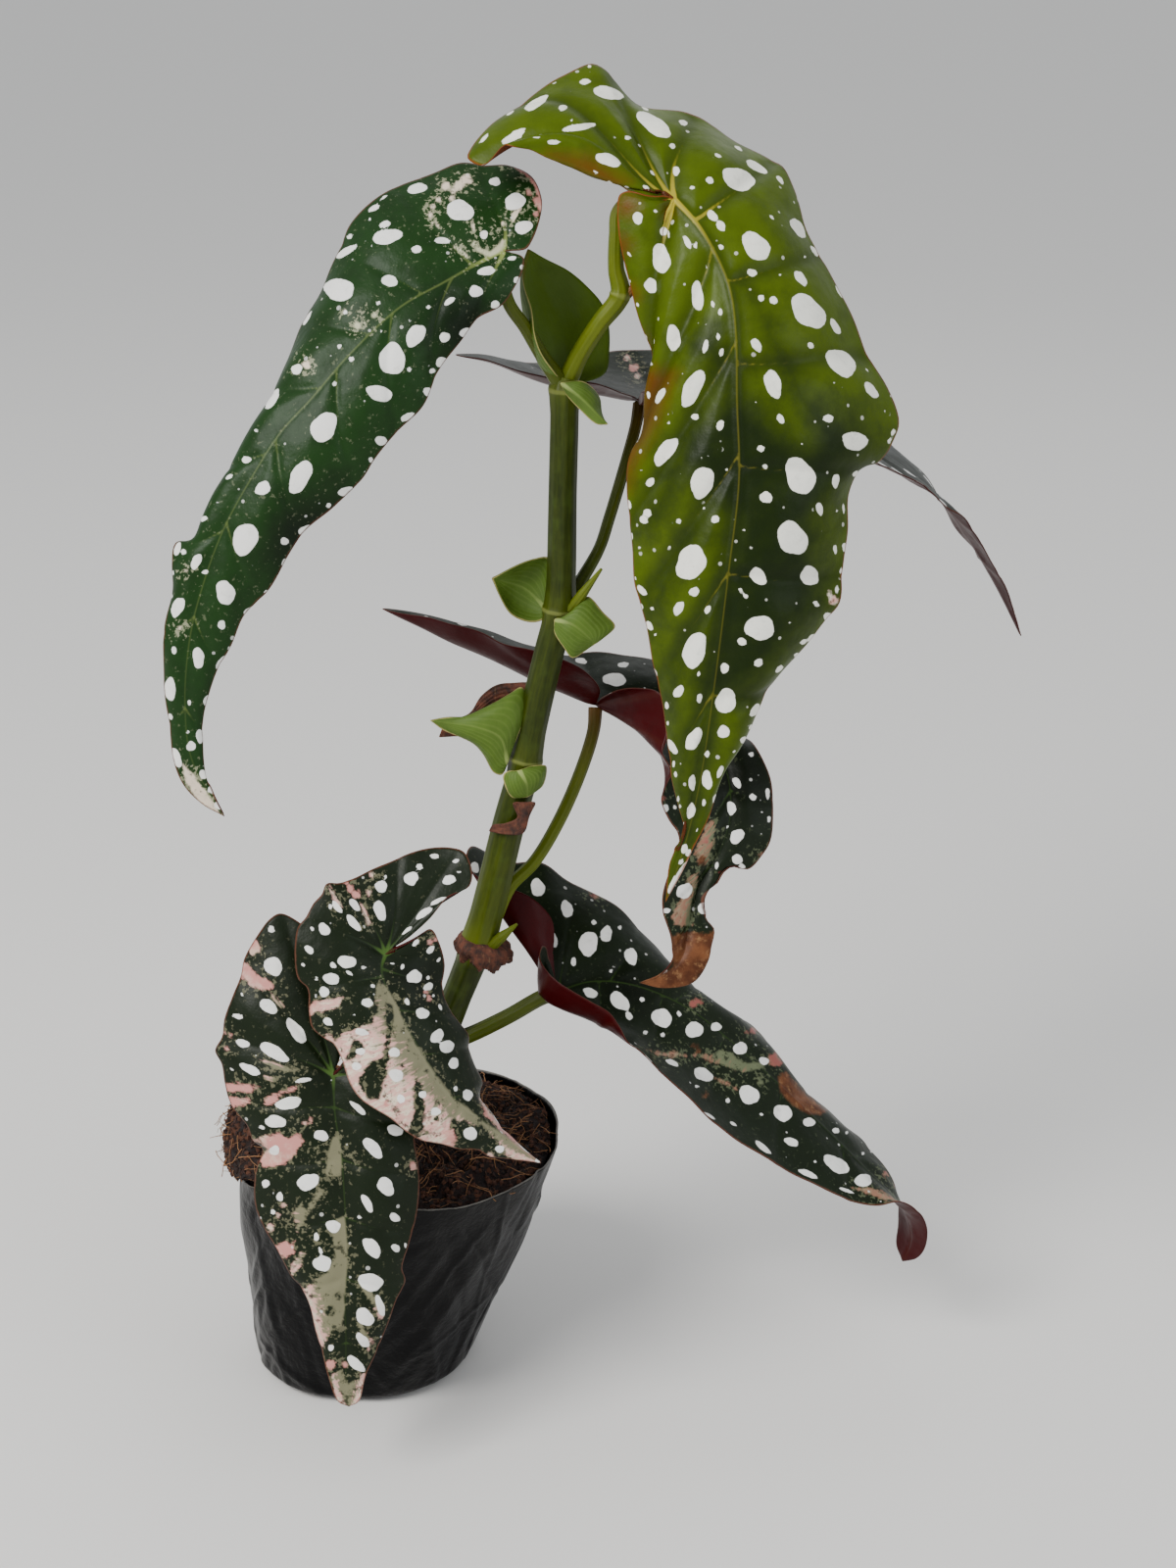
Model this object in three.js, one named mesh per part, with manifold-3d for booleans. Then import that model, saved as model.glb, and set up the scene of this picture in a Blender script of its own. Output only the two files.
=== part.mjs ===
import * as THREE from 'three';
import { mergeVertices } from 'three/addons/utils/BufferGeometryUtils.js';
import Module from 'manifold-3d';

// A cane begonia with seven spotted leaves, standing in a soft black grow bag.
// Millimetres, +Z up. The origin is the middle of the bag's flat underside, and
// +X is to the right and +Y away for someone who faces the plant.

// Driving dimensions.
const BAG = {
  height: 68, // floor to the middle of the rim
  baseRadius: 30.5,
  rimRadius: 46,
  rimShift: 10, // the bag slumps, so its mouth stands off centre
  leftPinch: 3.5, // the left side hangs nearly straight down
  wall: 1.0,
  crinkle: 0.9,
  rings: [3, 13, 24, 35, 46, 56], // heights where the wall is shaped
};
const SOIL_LEVEL = 69;
const SOIL_MOUND = 9; // how far the coir rises at the heaped left side
const SOIL_BULGE = 6; // how far the heap hangs out over the left rim
const BLADE_THICKNESS = 0.8;
const STIPULE_THICKNESS = 0.8;
const GAP = 0.35; // clearance between neighbouring solids
const CLEAN_STEP = 0.02; // a cut solid's finer slivers are smoothed away
const MIN_WEDGE = 1e-6; // cubic millimetres

// Every leaf was measured from one standpoint. A mark on a leaf is [x, y, depth]: x to
// the right and y down in a 1200 by 1600 view, and the depth in millimetres along +Y.
const VIEW = {
  eye: [64, -683, 419.5],
  focal: 2800,
  tilt: THREE.MathUtils.degToRad(20),
  centre: [600, 800],
};

// Leaf blades: the midrib, and the margins to its left and right for someone who looks
// at the upper side with the tip down. All three run from the leaf stalk to the tip.
// fan is the share of the margin that stands round the stalk before the midrib sets off,
// pace slows a margin down there, and swell lifts each half between midrib and margin.
// lift arches the ribs of one lobe, by a distance in millimetres.
const LEAVES = {
  leaf_crown: {
    colour: 0x5f8a12, fan: 0.33, pace: [1.2, 1], rows: 48,
    swell: [[0, 1.5, 3, 3, 2, 0], [0, 2, 4, 5, 3, 0]],
    lift: { side: 1, from: 0.07, to: 0.27, by: [0, 3, 8] },
    midrib: [
      [688, 203, -10], [714, 232, -16], [736, 271, -21], [746, 300, -25], [751, 343, -29], [752, 410, -33],
      [754, 489, -37], [743, 586, -41], [728, 705, -43], [714, 798, -43], [698, 865, -42], [679, 921, -40],
    ],
    left: [
      [660, 203, -12], [633, 198, -10], [630, 219, -10], [636, 258, -11], [645, 297, -13], [655, 336, -15],
      [663, 370, -17], [655, 424, -20], [642, 463, -21], [640, 496, -23], [643, 539, -26], [646, 589, -29],
      [656, 626, -32], [671, 698, -36], [683, 765, -39], [692, 820, -41], [697, 850, -42], [683, 881, -41],
    ],
    right: [
      [662, 197, -11], [636, 190, -9], [606, 180, -8], [584, 169, -8], [558, 161, -8], [538, 152, -8],
      [515, 151, -9], [495, 170, -8], [478, 163, -6], [482, 150, -3], [493, 135, 0], [509, 118, 4],
      [541, 96, 10], [574, 81, 14], [603, 66, 17], [616, 73, 17], [636, 96, 16], [655, 109, 15],
      [704, 117, 16], [727, 130, 16], [753, 148, 14], [785, 164, 12], [798, 170, 10], [810, 190, 7],
      [821, 229, 2], [837, 258, -2], [854, 291, -6], [880, 349, -11], [906, 395, -14], [917, 431, -16],
      [909, 450, -18], [895, 470, -19], [875, 480, -21], [865, 503, -23], [864, 546, -26], [860, 586, -28],
      [856, 616, -30], [842, 632, -31], [812, 665, -34], [789, 695, -36], [772, 728, -38], [756, 758, -39],
      [739, 778, -40], [729, 811, -41], [723, 834, -42], [703, 874, -42],
    ],
  },
  leaf_left: {
    colour: 0x1f4a26, fan: 0.13, pace: [1, 1.15], rows: 42,
    swell: [[0, 2, 3, 3, 1, 0], [0, 2, 3, 3, 1, 0]],
    midrib: [
      [513, 256, -12], [488, 269, -15], [452, 289, -19], [408, 314, -23], [354, 365, -28], [319, 406, -31],
      [287, 441, -33], [261, 481, -35], [229, 539, -37], [207, 598, -39], [194, 651, -41], [189, 718, -42],
      [196, 775, -42], [229, 833, -40],
    ],
    left: [
      [536, 254, -12], [543, 245, -10], [551, 222, -5], [553, 200, 0], [542, 180, 4], [519, 169, 7],
      [495, 170, 8], [470, 167, 8], [444, 176, 6], [408, 191, 3], [386, 205, 0], [359, 231, -4],
      [350, 254, -6], [332, 285, -9], [314, 321, -12], [296, 356, -15], [283, 392, -18], [261, 441, -22],
      [234, 486, -26], [207, 531, -30], [196, 552, -32], [180, 553, -33], [176, 575, -34], [175, 606, -36],
      [167, 660, -39], [168, 696, -40], [173, 740, -41], [178, 776, -41], [189, 803, -41], [207, 821, -41],
    ],
    right: [
      [534, 263, -13], [533, 276, -14], [524, 294, -16], [511, 312, -18], [488, 325, -20], [470, 348, -22],
      [448, 379, -25], [430, 414, -27], [408, 437, -29], [381, 468, -31], [368, 490, -32], [341, 517, -34],
      [314, 539, -35], [296, 566, -36], [274, 602, -37], [247, 629, -38], [234, 660, -39], [220, 687, -40],
      [209, 723, -41], [207, 758, -41], [208, 785, -41], [219, 815, -41],
    ],
  },
  leaf_back: {
    colour: 0x23412c, fan: 0.38, pace: [1.3, 1], rows: 40,
    swell: [[0, -2, -2, -1, 0, 0], [0, -2, -1, 1, 0, 0]],
    midrib: [
      [652, 408, 30], [700, 418, 33], [760, 428, 36], [830, 440, 40], [900, 465, 43], [950, 500, 45],
      [985, 545, 46], [1015, 595, 45], [1042, 649, 42],
    ],
    left: [
      [654, 403, 18], [660, 399, 9], [720, 405, 3], [790, 420, 6], [850, 445, 12], [893, 470, 19],
      [916, 481, 24], [940, 496, 28], [966, 519, 32], [983, 528, 34], [993, 543, 35], [1009, 569, 37],
      [1027, 601, 39],
    ],
    right: [
      [636, 401, 20], [610, 392, 15], [575, 387, 14], [530, 379, 15], [495, 369, 17], [466, 360, 20],
      [500, 363, 31], [540, 372, 42], [590, 365, 55], [621, 360, 60], [658, 358, 62], [720, 362, 66],
      [790, 385, 70], [860, 420, 70], [911, 454, 66], [928, 470, 63], [946, 488, 61], [962, 512, 59],
      [975, 535, 57], [988, 553, 55], [1013, 586, 51], [1031, 619, 46],
    ],
  },
  leaf_middle: {
    colour: 0x24382a, fan: 0.42, pace: [1.25, 1], rows: 40,
    swell: [[0, 0, -1, 1, 1, 0], [0, -2, 0, 3, 1, 0]],
    midrib: [
      [608, 719, 22], [640, 730, 24], [678, 738, 23], [715, 752, 17], [740, 785, 8], [745, 830, 0],
      [733, 870, -4], [712, 905, -7], [702, 945, -10], [697, 975, -13], [680, 996, -16], [653, 1003, -18],
    ],
    left: [
      [616, 711, 15], [630, 704, 10], [650, 702, 8], [672, 706, 5], [684, 730, 1], [678, 756, -2],
      [673, 770, -4], [683, 788, -6], [678, 802, -7], [674, 816, -8], [682, 835, -9], [693, 850, -10],
      [695, 864, -11], [686, 882, -12], [676, 910, -13], [676, 930, -14], [685, 958, -15], [686, 980, -16],
      [672, 996, -17],
    ],
    right: [
      [612, 703, 17], [598, 685, 13], [576, 673, 13], [546, 664, 14], [515, 656, 16], [492, 646, 18],
      [446, 633, 22], [418, 628, 25], [390, 622, 28], [415, 623, 32], [437, 627, 35], [492, 643, 40],
      [520, 652, 42], [546, 660, 43], [578, 669, 45], [598, 665, 46], [621, 664, 46], [645, 668, 46],
      [663, 673, 46], [700, 685, 44], [735, 715, 36], [755, 750, 24], [768, 760, 17], [780, 778, 11],
      [787, 798, 7], [789, 836, 1], [786, 858, -1], [778, 872, -2], [764, 887, -4], [748, 883, -5],
      [738, 888, -6], [732, 900, -7], [720, 908, -8], [717, 922, -9], [721, 938, -10], [729, 948, -11],
      [726, 966, -13], [723, 980, -14], [708, 1002, -15], [676, 1008, -17],
    ],
  },
  leaf_right: {
    colour: 0x21382a, fan: 0.33, pace: [1.6, 1], rows: 40,
    swell: [[0, -2, -7, -4, 0, 0], [0, -1, 2, 3, 1, 0]],
    midrib: [
      [567, 1013, 0], [603, 1002, 5], [648, 1006, 8], [700, 1028, 8], [745, 1062, 7], [800, 1112, 5],
      [850, 1160, 2], [885, 1195, -1], [912, 1222, -3], [928, 1245, -3], [930, 1268, -2], [921, 1287, 0],
    ],
    left: [
      [561, 990, 0], [556, 968, 0], [551, 966, -5], [549, 976, -8], [553, 987, -11], [567, 1001, -14],
      [585, 1012, -16], [603, 1021, -17], [621, 1033, -18], [633, 1049, -19], [642, 1064, -19],
      [653, 1071, -20], [674, 1092, -20], [701, 1119, -20], [723, 1142, -19], [742, 1155, -19],
      [785, 1184, -17], [808, 1198, -16], [833, 1209, -15], [855, 1220, -14], [871, 1227, -13],
      [895, 1230, -12], [919, 1227, -12], [937, 1236, -11], [946, 1252, -9], [944, 1273, -6],
      [935, 1284, -3],
    ],
    right: [
      [566, 985, 3], [566, 960, 5], [564, 940, 7], [556, 928, 8], [537, 913, 8], [508, 903, 9],
      [490, 896, 11], [476, 882, 13], [480, 864, 20], [497, 869, 24], [517, 878, 27], [551, 881, 29],
      [576, 897, 30], [608, 913, 29], [640, 935, 28], [667, 962, 27], [685, 985, 26], [701, 1005, 26],
      [726, 1031, 25], [753, 1038, 25], [767, 1048, 24], [781, 1062, 23], [803, 1096, 21], [819, 1111, 20],
      [846, 1134, 18], [862, 1148, 16], [878, 1161, 14], [889, 1175, 11], [901, 1189, 8], [912, 1207, 5],
      [917, 1226, 4], [917, 1240, 5], [917, 1252, 5], [916, 1270, 4],
    ],
  },
  leaf_front: {
    colour: 0x2c4231, fan: 0.45, pace: [1, 1.7], rows: 40,
    swell: [[0, 1, 2, 3, 2, 0], [0, 0, 1, 2, 1, 0]],
    midrib: [
      [393, 974, -46], [389, 990, -49], [399, 1019, -52], [417, 1052, -55], [435, 1082, -57],
      [455, 1113, -58], [476, 1131, -58], [501, 1149, -57], [528, 1170, -56], [552, 1187, -54],
    ],
    left: [
      [415, 957, -45], [436, 940, -44], [458, 916, -42], [478, 906, -40], [482, 892, -38], [474, 870, -35],
      [460, 865, -34], [440, 865, -34], [420, 870, -35], [400, 879, -36], [380, 887, -38], [360, 897, -40],
      [344, 902, -42], [333, 902, -43], [329, 912, -44], [320, 922, -45], [312, 936, -47], [304, 946, -48],
      [301, 964, -50], [301, 980, -51], [304, 998, -52], [314, 1010, -53], [315, 1030, -54],
      [318, 1048, -56], [328, 1058, -57], [340, 1066, -58], [348, 1080, -59], [358, 1106, -61],
      [370, 1122, -62], [399, 1141, -63], [417, 1156, -63], [432, 1164, -63], [450, 1167, -62],
      [468, 1172, -61], [486, 1173, -60], [501, 1181, -58], [524, 1183, -57],
    ],
    right: [
      [418, 962, -45], [439, 948, -43], [447, 960, -42], [453, 983, -42], [450, 1006, -43], [453, 1021, -43],
      [465, 1039, -43], [478, 1056, -43], [478, 1070, -43], [483, 1085, -44], [492, 1105, -45],
      [488, 1121, -46], [501, 1137, -48], [509, 1149, -49], [532, 1172, -52],
    ],
  },
  leaf_low: {
    colour: 0x2a3f2e, fan: 0.42, pace: [1, 1.7], rows: 40,
    swell: [[0, 1, 2, 3, 2, 0], [0, 1, 2, 3, 2, 0]],
    midrib: [
      [340, 1097, -50], [342, 1137, -54], [348, 1175, -57], [351, 1213, -60], [353, 1251, -62],
      [354, 1290, -64], [352, 1328, -66], [353, 1366, -68], [353, 1400, -69], [356, 1435, -70],
    ],
    left: [
      [347, 1075, -48], [350, 1040, -46], [347, 1000, -42], [332, 965, -38], [308, 943, -35],
      [286, 932, -34], [275, 938, -35], [264, 952, -36], [249, 978, -38], [245, 996, -40],
      [236, 1018, -42], [228, 1040, -43], [226, 1058, -44], [219, 1072, -45], [226, 1086, -46],
      [229, 1106, -47], [235, 1126, -49], [253, 1147, -51], [258, 1162, -52], [268, 1172, -52],
      [261, 1195, -54], [260, 1226, -56], [268, 1249, -58], [281, 1272, -60], [297, 1300, -62],
      [309, 1313, -63], [317, 1330, -64], [322, 1356, -66], [330, 1381, -67], [335, 1404, -69],
      [345, 1430, -70],
    ],
    right: [
      [354, 1080, -49], [378, 1062, -47], [400, 1064, -47], [416, 1090, -48], [421, 1125, -50],
      [422, 1163, -53], [428, 1200, -55], [424, 1239, -58], [416, 1269, -60], [409, 1293, -61],
      [413, 1307, -61], [404, 1325, -63], [396, 1351, -65], [383, 1384, -67], [373, 1404, -69],
      [366, 1430, -70],
    ],
  },
};

// Stipules and their dry remains: small boat-shaped blades that sit on the nodes of the
// cane, described as the leaves are.
const GREEN = 0x86a04a;
const BROWN = 0x8a4f33;
const STIPULES = {
  bud_sheath: {
    colour: 0x7c8a3c, fan: 0, pace: [1, 1], rows: 16, swell: [[0, 0.5, 0.5, 0], [0, 3, 3, 0]],
    midrib: [[578, 389, 3], [556, 380, 0], [543, 355, -1], [535, 325, 1], [532, 295, 3], [534, 270, 4],
      [539, 254, 4]],
    left: [[566, 381, -5], [552, 362, -8], [544, 340, -9], [541, 315, -7], [535, 293, -4], [534, 272, 1]],
    right: [[600, 389, 7], [618, 380, 9], [622, 355, 10], [621, 330, 10], [615, 311, 10], [600, 293, 10],
      [580, 276, 9], [557, 264, 7]],
  },
  stipule_top: {
    colour: GREEN, fan: 0, pace: [1, 1], rows: 9, swell: [[0, 0, 0], [0, 1, 0]],
    midrib: [[572, 391, -5], [590, 404, -7], [605, 418, -8], [620, 433, -8]],
    left: [[578, 402, -4], [594, 419, -5], [610, 433, -7]],
    right: [[594, 389, -4], [606, 397, -2], [613, 408, -1], [614, 421, -3], [617, 430, -6]],
  },
  stipule_mid_left: {
    colour: GREEN, fan: 0, pace: [1, 1], rows: 11, swell: [[0, -2, 0], [0, -2, 0]],
    midrib: [[558, 622, 3], [535, 600, 5], [502, 590, 1]],
    left: [[562, 600, 3], [560, 570, 2], [545, 571, 1], [525, 578, 0]],
    right: [[553, 632, 1], [540, 634, 0], [522, 626, -1], [510, 608, -1]],
  },
  stipule_mid_right: {
    colour: GREEN, fan: 0, pace: [1, 1], rows: 11, swell: [[0, 1, 0], [0, 1, 0]],
    midrib: [[566, 632, -5], [585, 638, -7], [600, 650, -7], [607, 657, -6]],
    left: [[566, 645, -5], [575, 660, -6], [584, 671, -6], [596, 665, -6]],
    right: [[578, 629, -5], [592, 618, -4], [600, 609, -3], [615, 624, -4], [628, 639, -5], [618, 650, -6]],
  },
  stipule_beak: {
    colour: GREEN, fan: 0, pace: [1, 1], rows: 14, swell: [[0, 1.5, 0], [0, 1, 0]],
    midrib: [[518, 778, -4], [510, 752, -6], [488, 742, -6], [462, 738, -4], [439, 735, -2]],
    left: [[527, 750, -3], [537, 708, 0], [532, 701, 0], [519, 709, -1], [495, 723, -2], [478, 731, -3],
      [456, 732, -3]],
    right: [[512, 790, -3], [504, 788, -3], [492, 770, -3], [483, 760, -3], [468, 751, -3], [450, 742, -2]],
  },
  husk_beak: {
    colour: BROWN, fan: 0, pace: [1, 1], rows: 10, swell: [[0, 1, 0], [0, 1, 0]],
    midrib: [[541, 720, 4], [505, 722, 6], [475, 740, 5], [448, 752, 3]],
    left: [[542, 699, 4], [520, 697, 5], [507, 699, 5], [492, 710, 5], [477, 728, 5], [455, 738, 4]],
    right: [[524, 742, 5], [490, 755, 5], [468, 752, 4]],
  },
  stipule_ruffle: {
    colour: GREEN, fan: 0, pace: [1, 1], rows: 9, swell: [[0, 1, 0], [0, 1, 0]],
    midrib: [[530, 786, -6], [537, 800, -7], [538, 813, -6]],
    left: [[515, 790, -5], [517, 805, -6], [523, 814, -6]],
    right: [[547, 781, -4], [558, 782, -2], [554, 800, -3], [546, 808, -5]],
  },
  husk_ruffle: {
    colour: BROWN, fan: 0, pace: [1, 1], rows: 9, swell: [[0, 0, 0], [0, 0, 0]],
    midrib: [[535, 819, -6], [534, 835, -6], [522, 845, -6], [499, 848, -5]],
    left: [[524, 819, -6], [528, 834, -6], [516, 840, -6], [503, 842, -5]],
    right: [[546, 819, -5], [541, 832, -5], [534, 850, -6], [515, 851, -6]],
  },
};

// The cane and the leaf stalks: a station is [x, y, z, radius].
const CANE = [
  [9, 0, 44, 4.0], [12.5, 0, 68, 4.1], [18, 0, 84.5, 4.0], [23, 0, 96, 4.3], [28.5, 0, 110, 4.0],
  [32, 0, 119, 4.2], [34, 0, 124.5, 4.9], [36.5, 0, 133, 4.4], [43, 0, 160, 4.3], [46.5, 0, 173, 4.2],
  [47.5, 0, 178, 4.5], [49, 0, 186, 4.0], [54, 0, 208, 3.9], [56, 0, 215.5, 4.0], [56.5, 0, 219, 4.3],
  [57, 0, 226, 3.8], [57.5, 0, 250, 3.6], [58, 0, 270, 3.6], [58, 0, 277, 3.9], [58.5, 0, 280, 3.0],
];
const STALKS = {
  leaf_crown: [
    [58.5, 0, 278, 2.6], [62, 0, 285.5, 2.3], [67, -1, 293.5, 2.3], [72, -1, 300.5, 2.5],
    [71, 0, 307, 2], [71, 1, 315, 1.8], [71.5, 2, 320.5, 1.7], [75.5, 1, 324, 1.7],
    [80, -3, 324.5, 1.7], [84.6, -8.2, 324.4, 1.6],
  ],
  leaf_left: [
    [58, 0, 277, 2.4], [53, -3, 285, 1.8], [48.5, -7, 293.5, 1.6], [44.5, -9, 300, 1.6],
    [43, -9, 307, 1.6], [43.5, -10, 312.5, 1.6],
  ],
  leaf_back: [
    [58, 2, 219, 2.2], [62.5, 6, 225.5, 1.7], [67, 9, 233, 1.5], [69.5, 12, 240, 1.5],
    [74, 18, 254, 1.5], [76.5, 24, 262, 1.5], [77.5, 29, 266.5, 1.7],
  ],
  leaf_middle: [
    [34.5, 0, 125.5, 2.4], [38.5, 2, 131, 2], [43, 4, 140, 1.75], [49.5, 7, 146, 1.7], [56, 11, 156, 1.7],
    [62, 15, 169, 1.7], [65.5, 19, 179.5, 1.7], [66, 21.5, 185, 1.9],
  ],
  leaf_right: [
    [23, 1, 94, 2.6], [27, 0, 96, 2.3], [32, 0, 98, 2.2], [42.5, -1, 104, 2.1], [50.5, -1, 109, 2.1],
    [54.5, 0, 110.5, 2.2],
  ],
  leaf_front: [
    [17.5, -1, 84, 2.4], [16.5, -12, 99.5, 1.8], [14.5, -26, 117.5, 1.8], [13, -39, 134.5, 1.8],
    [12.5, -45, 141, 1.8],
  ],
  leaf_low: [
    [15.5, -2, 77, 2.4], [10, -18, 89, 1.8], [4, -36, 101.5, 1.8], [-0.9, -49.3, 109.5, 1.8],
  ],
};
// Small green side buds that point up out of the nodes.
const SIDE_BUDS = [
  [[59.5, -2.5, 219.5, 1.5], [62.5, -3.5, 224, 1.3], [67.5, -4, 231, 0.3]],
  [[37, -3, 124.5, 1.6], [41, -4.5, 129, 1.4], [45, -5.5, 133, 0.3]],
  [[72.5, -1, 299.5, 1.3], [75, -1.5, 302, 1.1], [76.5, -1.5, 304, 0.3]],
];
// Papery brown frill left on the lowest leafy node.
const FRILL = { at: [34.3, 0.5, 128], lean: 0.33, inner: 5.1, spread: 4.2, drop: 5, thick: 0.9, sides: 26 };

const wasm = await Module();
wasm.setup();

// A measured mark as a point in space.
function place([x, y, depth]) {
  const side = (x - VIEW.centre[0]) / VIEW.focal;
  const down = (y - VIEW.centre[1]) / VIEW.focal;
  const ray = new THREE.Vector3(
    side,
    Math.cos(VIEW.tilt) - down * Math.sin(VIEW.tilt),
    -Math.sin(VIEW.tilt) - down * Math.cos(VIEW.tilt),
  );
  const reach = (depth - VIEW.eye[1]) / ray.y;
  return new THREE.Vector3(...VIEW.eye).addScaledVector(ray, reach);
}

function curveThrough(marks) {
  const curve = new THREE.CatmullRomCurve3(marks.map(place), false, 'centripetal');
  curve.arcLengthDivisions = 400;
  return curve;
}

// Reads evenly spaced values off a smooth line through them.
function profileAt(values, q) {
  const spot = q * (values.length - 1);
  const low = Math.min(Math.floor(spot), values.length - 2);
  const blend = THREE.MathUtils.smoothstep(spot - low, 0, 1);
  return values[low] * (1 - blend) + values[low + 1] * blend;
}

// Which way the upper side faces. The ribs that fan out from the stalk share one hub, and
// it faces as they do on average.
function gridNormals(grid, hubRows) {
  const last = grid.length - 1;
  const normals = grid.map((row, i) => row.map((point, j) => {
    const along = grid[Math.min(i + 1, last)][j].clone().sub(grid[Math.max(i - 1, 0)][j]);
    const across = row[Math.min(j + 1, row.length - 1)].clone().sub(row[Math.max(j - 1, 0)]);
    return along.cross(across).normalize();
  }));
  const middle = (grid[0].length - 1) / 2;
  const hub = new THREE.Vector3();
  normals.slice(0, hubRows).forEach((row) => hub.add(row[middle - 1]).add(row[middle + 1]));
  hub.normalize();
  normals.slice(0, hubRows).forEach((row) => row[middle].copy(hub));
  return normals;
}

function lobeLift(leaf, q, v) {
  const offset = new THREE.Vector3();
  if (!leaf.lift || (v > 0 ? 1 : 0) !== leaf.lift.side) return offset;
  const { from, to, by } = leaf.lift;
  const share = THREE.MathUtils.clamp((q - from) / (to - from), 0, 1);
  return offset.set(...by).multiplyScalar(Math.sin(Math.PI * share) * Math.sin(Math.PI * Math.abs(v)));
}

// The blade's middle surface as rows of points from the left margin to the right one.
function bladeSurface(leaf, columns) {
  const { midrib, left, right } = leaf;
  const base = midrib[0];
  const tip = midrib[midrib.length - 1];
  const rib = curveThrough(midrib);
  const margins = [curveThrough([base, ...left, tip]), curveThrough([base, ...right, tip])];
  const grid = [];
  for (let i = 1; i < leaf.rows; i += 1) {
    const q = i / leaf.rows;
    const run = Math.max(0, (q - leaf.fan) / (1 - leaf.fan)) ** 1.2;
    const spine = rib.getPointAt(run);
    const edges = margins.map((margin, side) => margin.getPointAt(q ** leaf.pace[side]));
    const row = [];
    for (let j = -columns; j <= columns; j += 1) {
      const edge = edges[j < 0 ? 0 : 1];
      row.push(spine.clone().lerp(edge, Math.abs(j) / columns).add(lobeLift(leaf, q, j / columns)));
    }
    grid.push(row);
  }
  const hubRows = Math.floor(leaf.fan * leaf.rows);
  const normals = gridNormals(grid, hubRows);
  grid.forEach((row, i) => row.forEach((point, k) => {
    const j = k - columns;
    const rise = profileAt(leaf.swell[j < 0 ? 0 : 1], (i + 1) / leaf.rows);
    point.addScaledVector(normals[i][k], rise * Math.sin(Math.PI * Math.abs(j) / columns));
  }));
  return { grid, normals: gridNormals(grid, hubRows), stalkEnd: place(base), tipEnd: place(tip) };
}

// A closed blade: a thin wedge for each triangle of its middle surface, all joined, so the
// solid doesn't cross itself where the ribs crowd round the stalk.
function bladeSolid(leaf, columns, thickness) {
  const { grid, normals, stalkEnd, tipEnd } = bladeSurface(leaf, columns);
  const skin = grid.map((row, i) => row.map((point, j) => [point, normals[i][j]]));
  const start = [stalkEnd, normals[0][columns]];
  const end = [tipEnd, normals[grid.length - 1][columns]];
  const wedges = [];
  const wedge = (...corners) => {
    const points = corners.flatMap(([point, up]) => [0.5, -0.5].map((face) => (
      point.clone().addScaledVector(up, face * thickness).toArray()
    )));
    wedges.push(wasm.Manifold.hull(points));
  };
  for (let j = 0; j < 2 * columns; j += 1) {
    wedge(start, skin[0][j], skin[0][j + 1]);
    for (let i = 0; i < grid.length - 1; i += 1) {
      wedge(skin[i][j], skin[i + 1][j], skin[i + 1][j + 1]);
      wedge(skin[i][j], skin[i + 1][j + 1], skin[i][j + 1]);
    }
    wedge(end, skin[grid.length - 1][j + 1], skin[grid.length - 1][j]);
  }
  const whole = wasm.Manifold.union(wedges.filter((part) => part.volume() > MIN_WEDGE));
  return whole.simplify(CLEAN_STEP);
}

// A round stem through stations [x, y, z, radius], closed at both ends.
function stemGeometry(stations, sides, steps, extra = 0) {
  const points = stations.map(([x, y, z]) => new THREE.Vector3(x, y, z));
  const curve = new THREE.CatmullRomCurve3(points, false, 'centripetal');
  const positions = [];
  const indices = [];
  let across = new THREE.Vector3(0, 1, 0);
  for (let i = 0; i <= steps; i += 1) {
    const t = i / steps;
    const spot = t * (stations.length - 1);
    const low = Math.min(Math.floor(spot), stations.length - 2);
    const radius = THREE.MathUtils.lerp(stations[low][3], stations[low + 1][3], spot - low) + extra;
    const centre = curve.getPoint(t);
    const along = curve.getTangent(t);
    const side = new THREE.Vector3().crossVectors(along, across).normalize();
    across = new THREE.Vector3().crossVectors(side, along).normalize();
    for (let k = 0; k < sides; k += 1) {
      const turn = (2 * Math.PI * k) / sides;
      const rim = centre.clone();
      rim.addScaledVector(side, radius * Math.cos(turn));
      rim.addScaledVector(across, radius * Math.sin(turn));
      positions.push(...rim.toArray());
    }
  }
  for (let i = 0; i < steps; i += 1) {
    for (let k = 0; k < sides; k += 1) {
      const next = (k + 1) % sides;
      const a = i * sides + k;
      const b = i * sides + next;
      indices.push(a, a + sides, b, b, a + sides, b + sides);
    }
  }
  const ends = [[0, points[0]], [steps * sides, points[points.length - 1]]];
  ends.forEach(([start, centre], end) => {
    const middle = positions.length / 3;
    positions.push(...centre.toArray());
    for (let k = 0; k < sides; k += 1) {
      const a = start + k;
      const b = start + (k + 1) % sides;
      indices.push(...(end === 0 ? [middle, a, b] : [middle, b, a]));
    }
  });
  const geometry = new THREE.BufferGeometry();
  geometry.setAttribute('position', new THREE.Float32BufferAttribute(positions, 3));
  geometry.setIndex(indices);
  return geometry;
}

function toSolid(geometry) {
  const merged = mergeVertices(geometry, 1e-4);
  const index = merged.index.array;
  const triangles = [];
  for (let i = 0; i < index.length; i += 3) {
    const [a, b, c] = index.slice(i, i + 3);
    if (a !== b && b !== c && c !== a) triangles.push(a, b, c);
  }
  const solid = new wasm.Manifold(new wasm.Mesh({
    numProp: 3,
    vertProperties: new Float32Array(merged.attributes.position.array),
    triVerts: new Uint32Array(triangles),
  }));
  return solid.volume() < 0 ? toSolid(turnedOut(merged)) : solid;
}

function turnedOut(geometry) {
  const flipped = geometry.clone();
  const index = flipped.index.array;
  for (let i = 0; i < index.length; i += 3) {
    const first = index[i];
    index[i] = index[i + 1];
    index[i + 1] = first;
  }
  return flipped;
}

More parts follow.
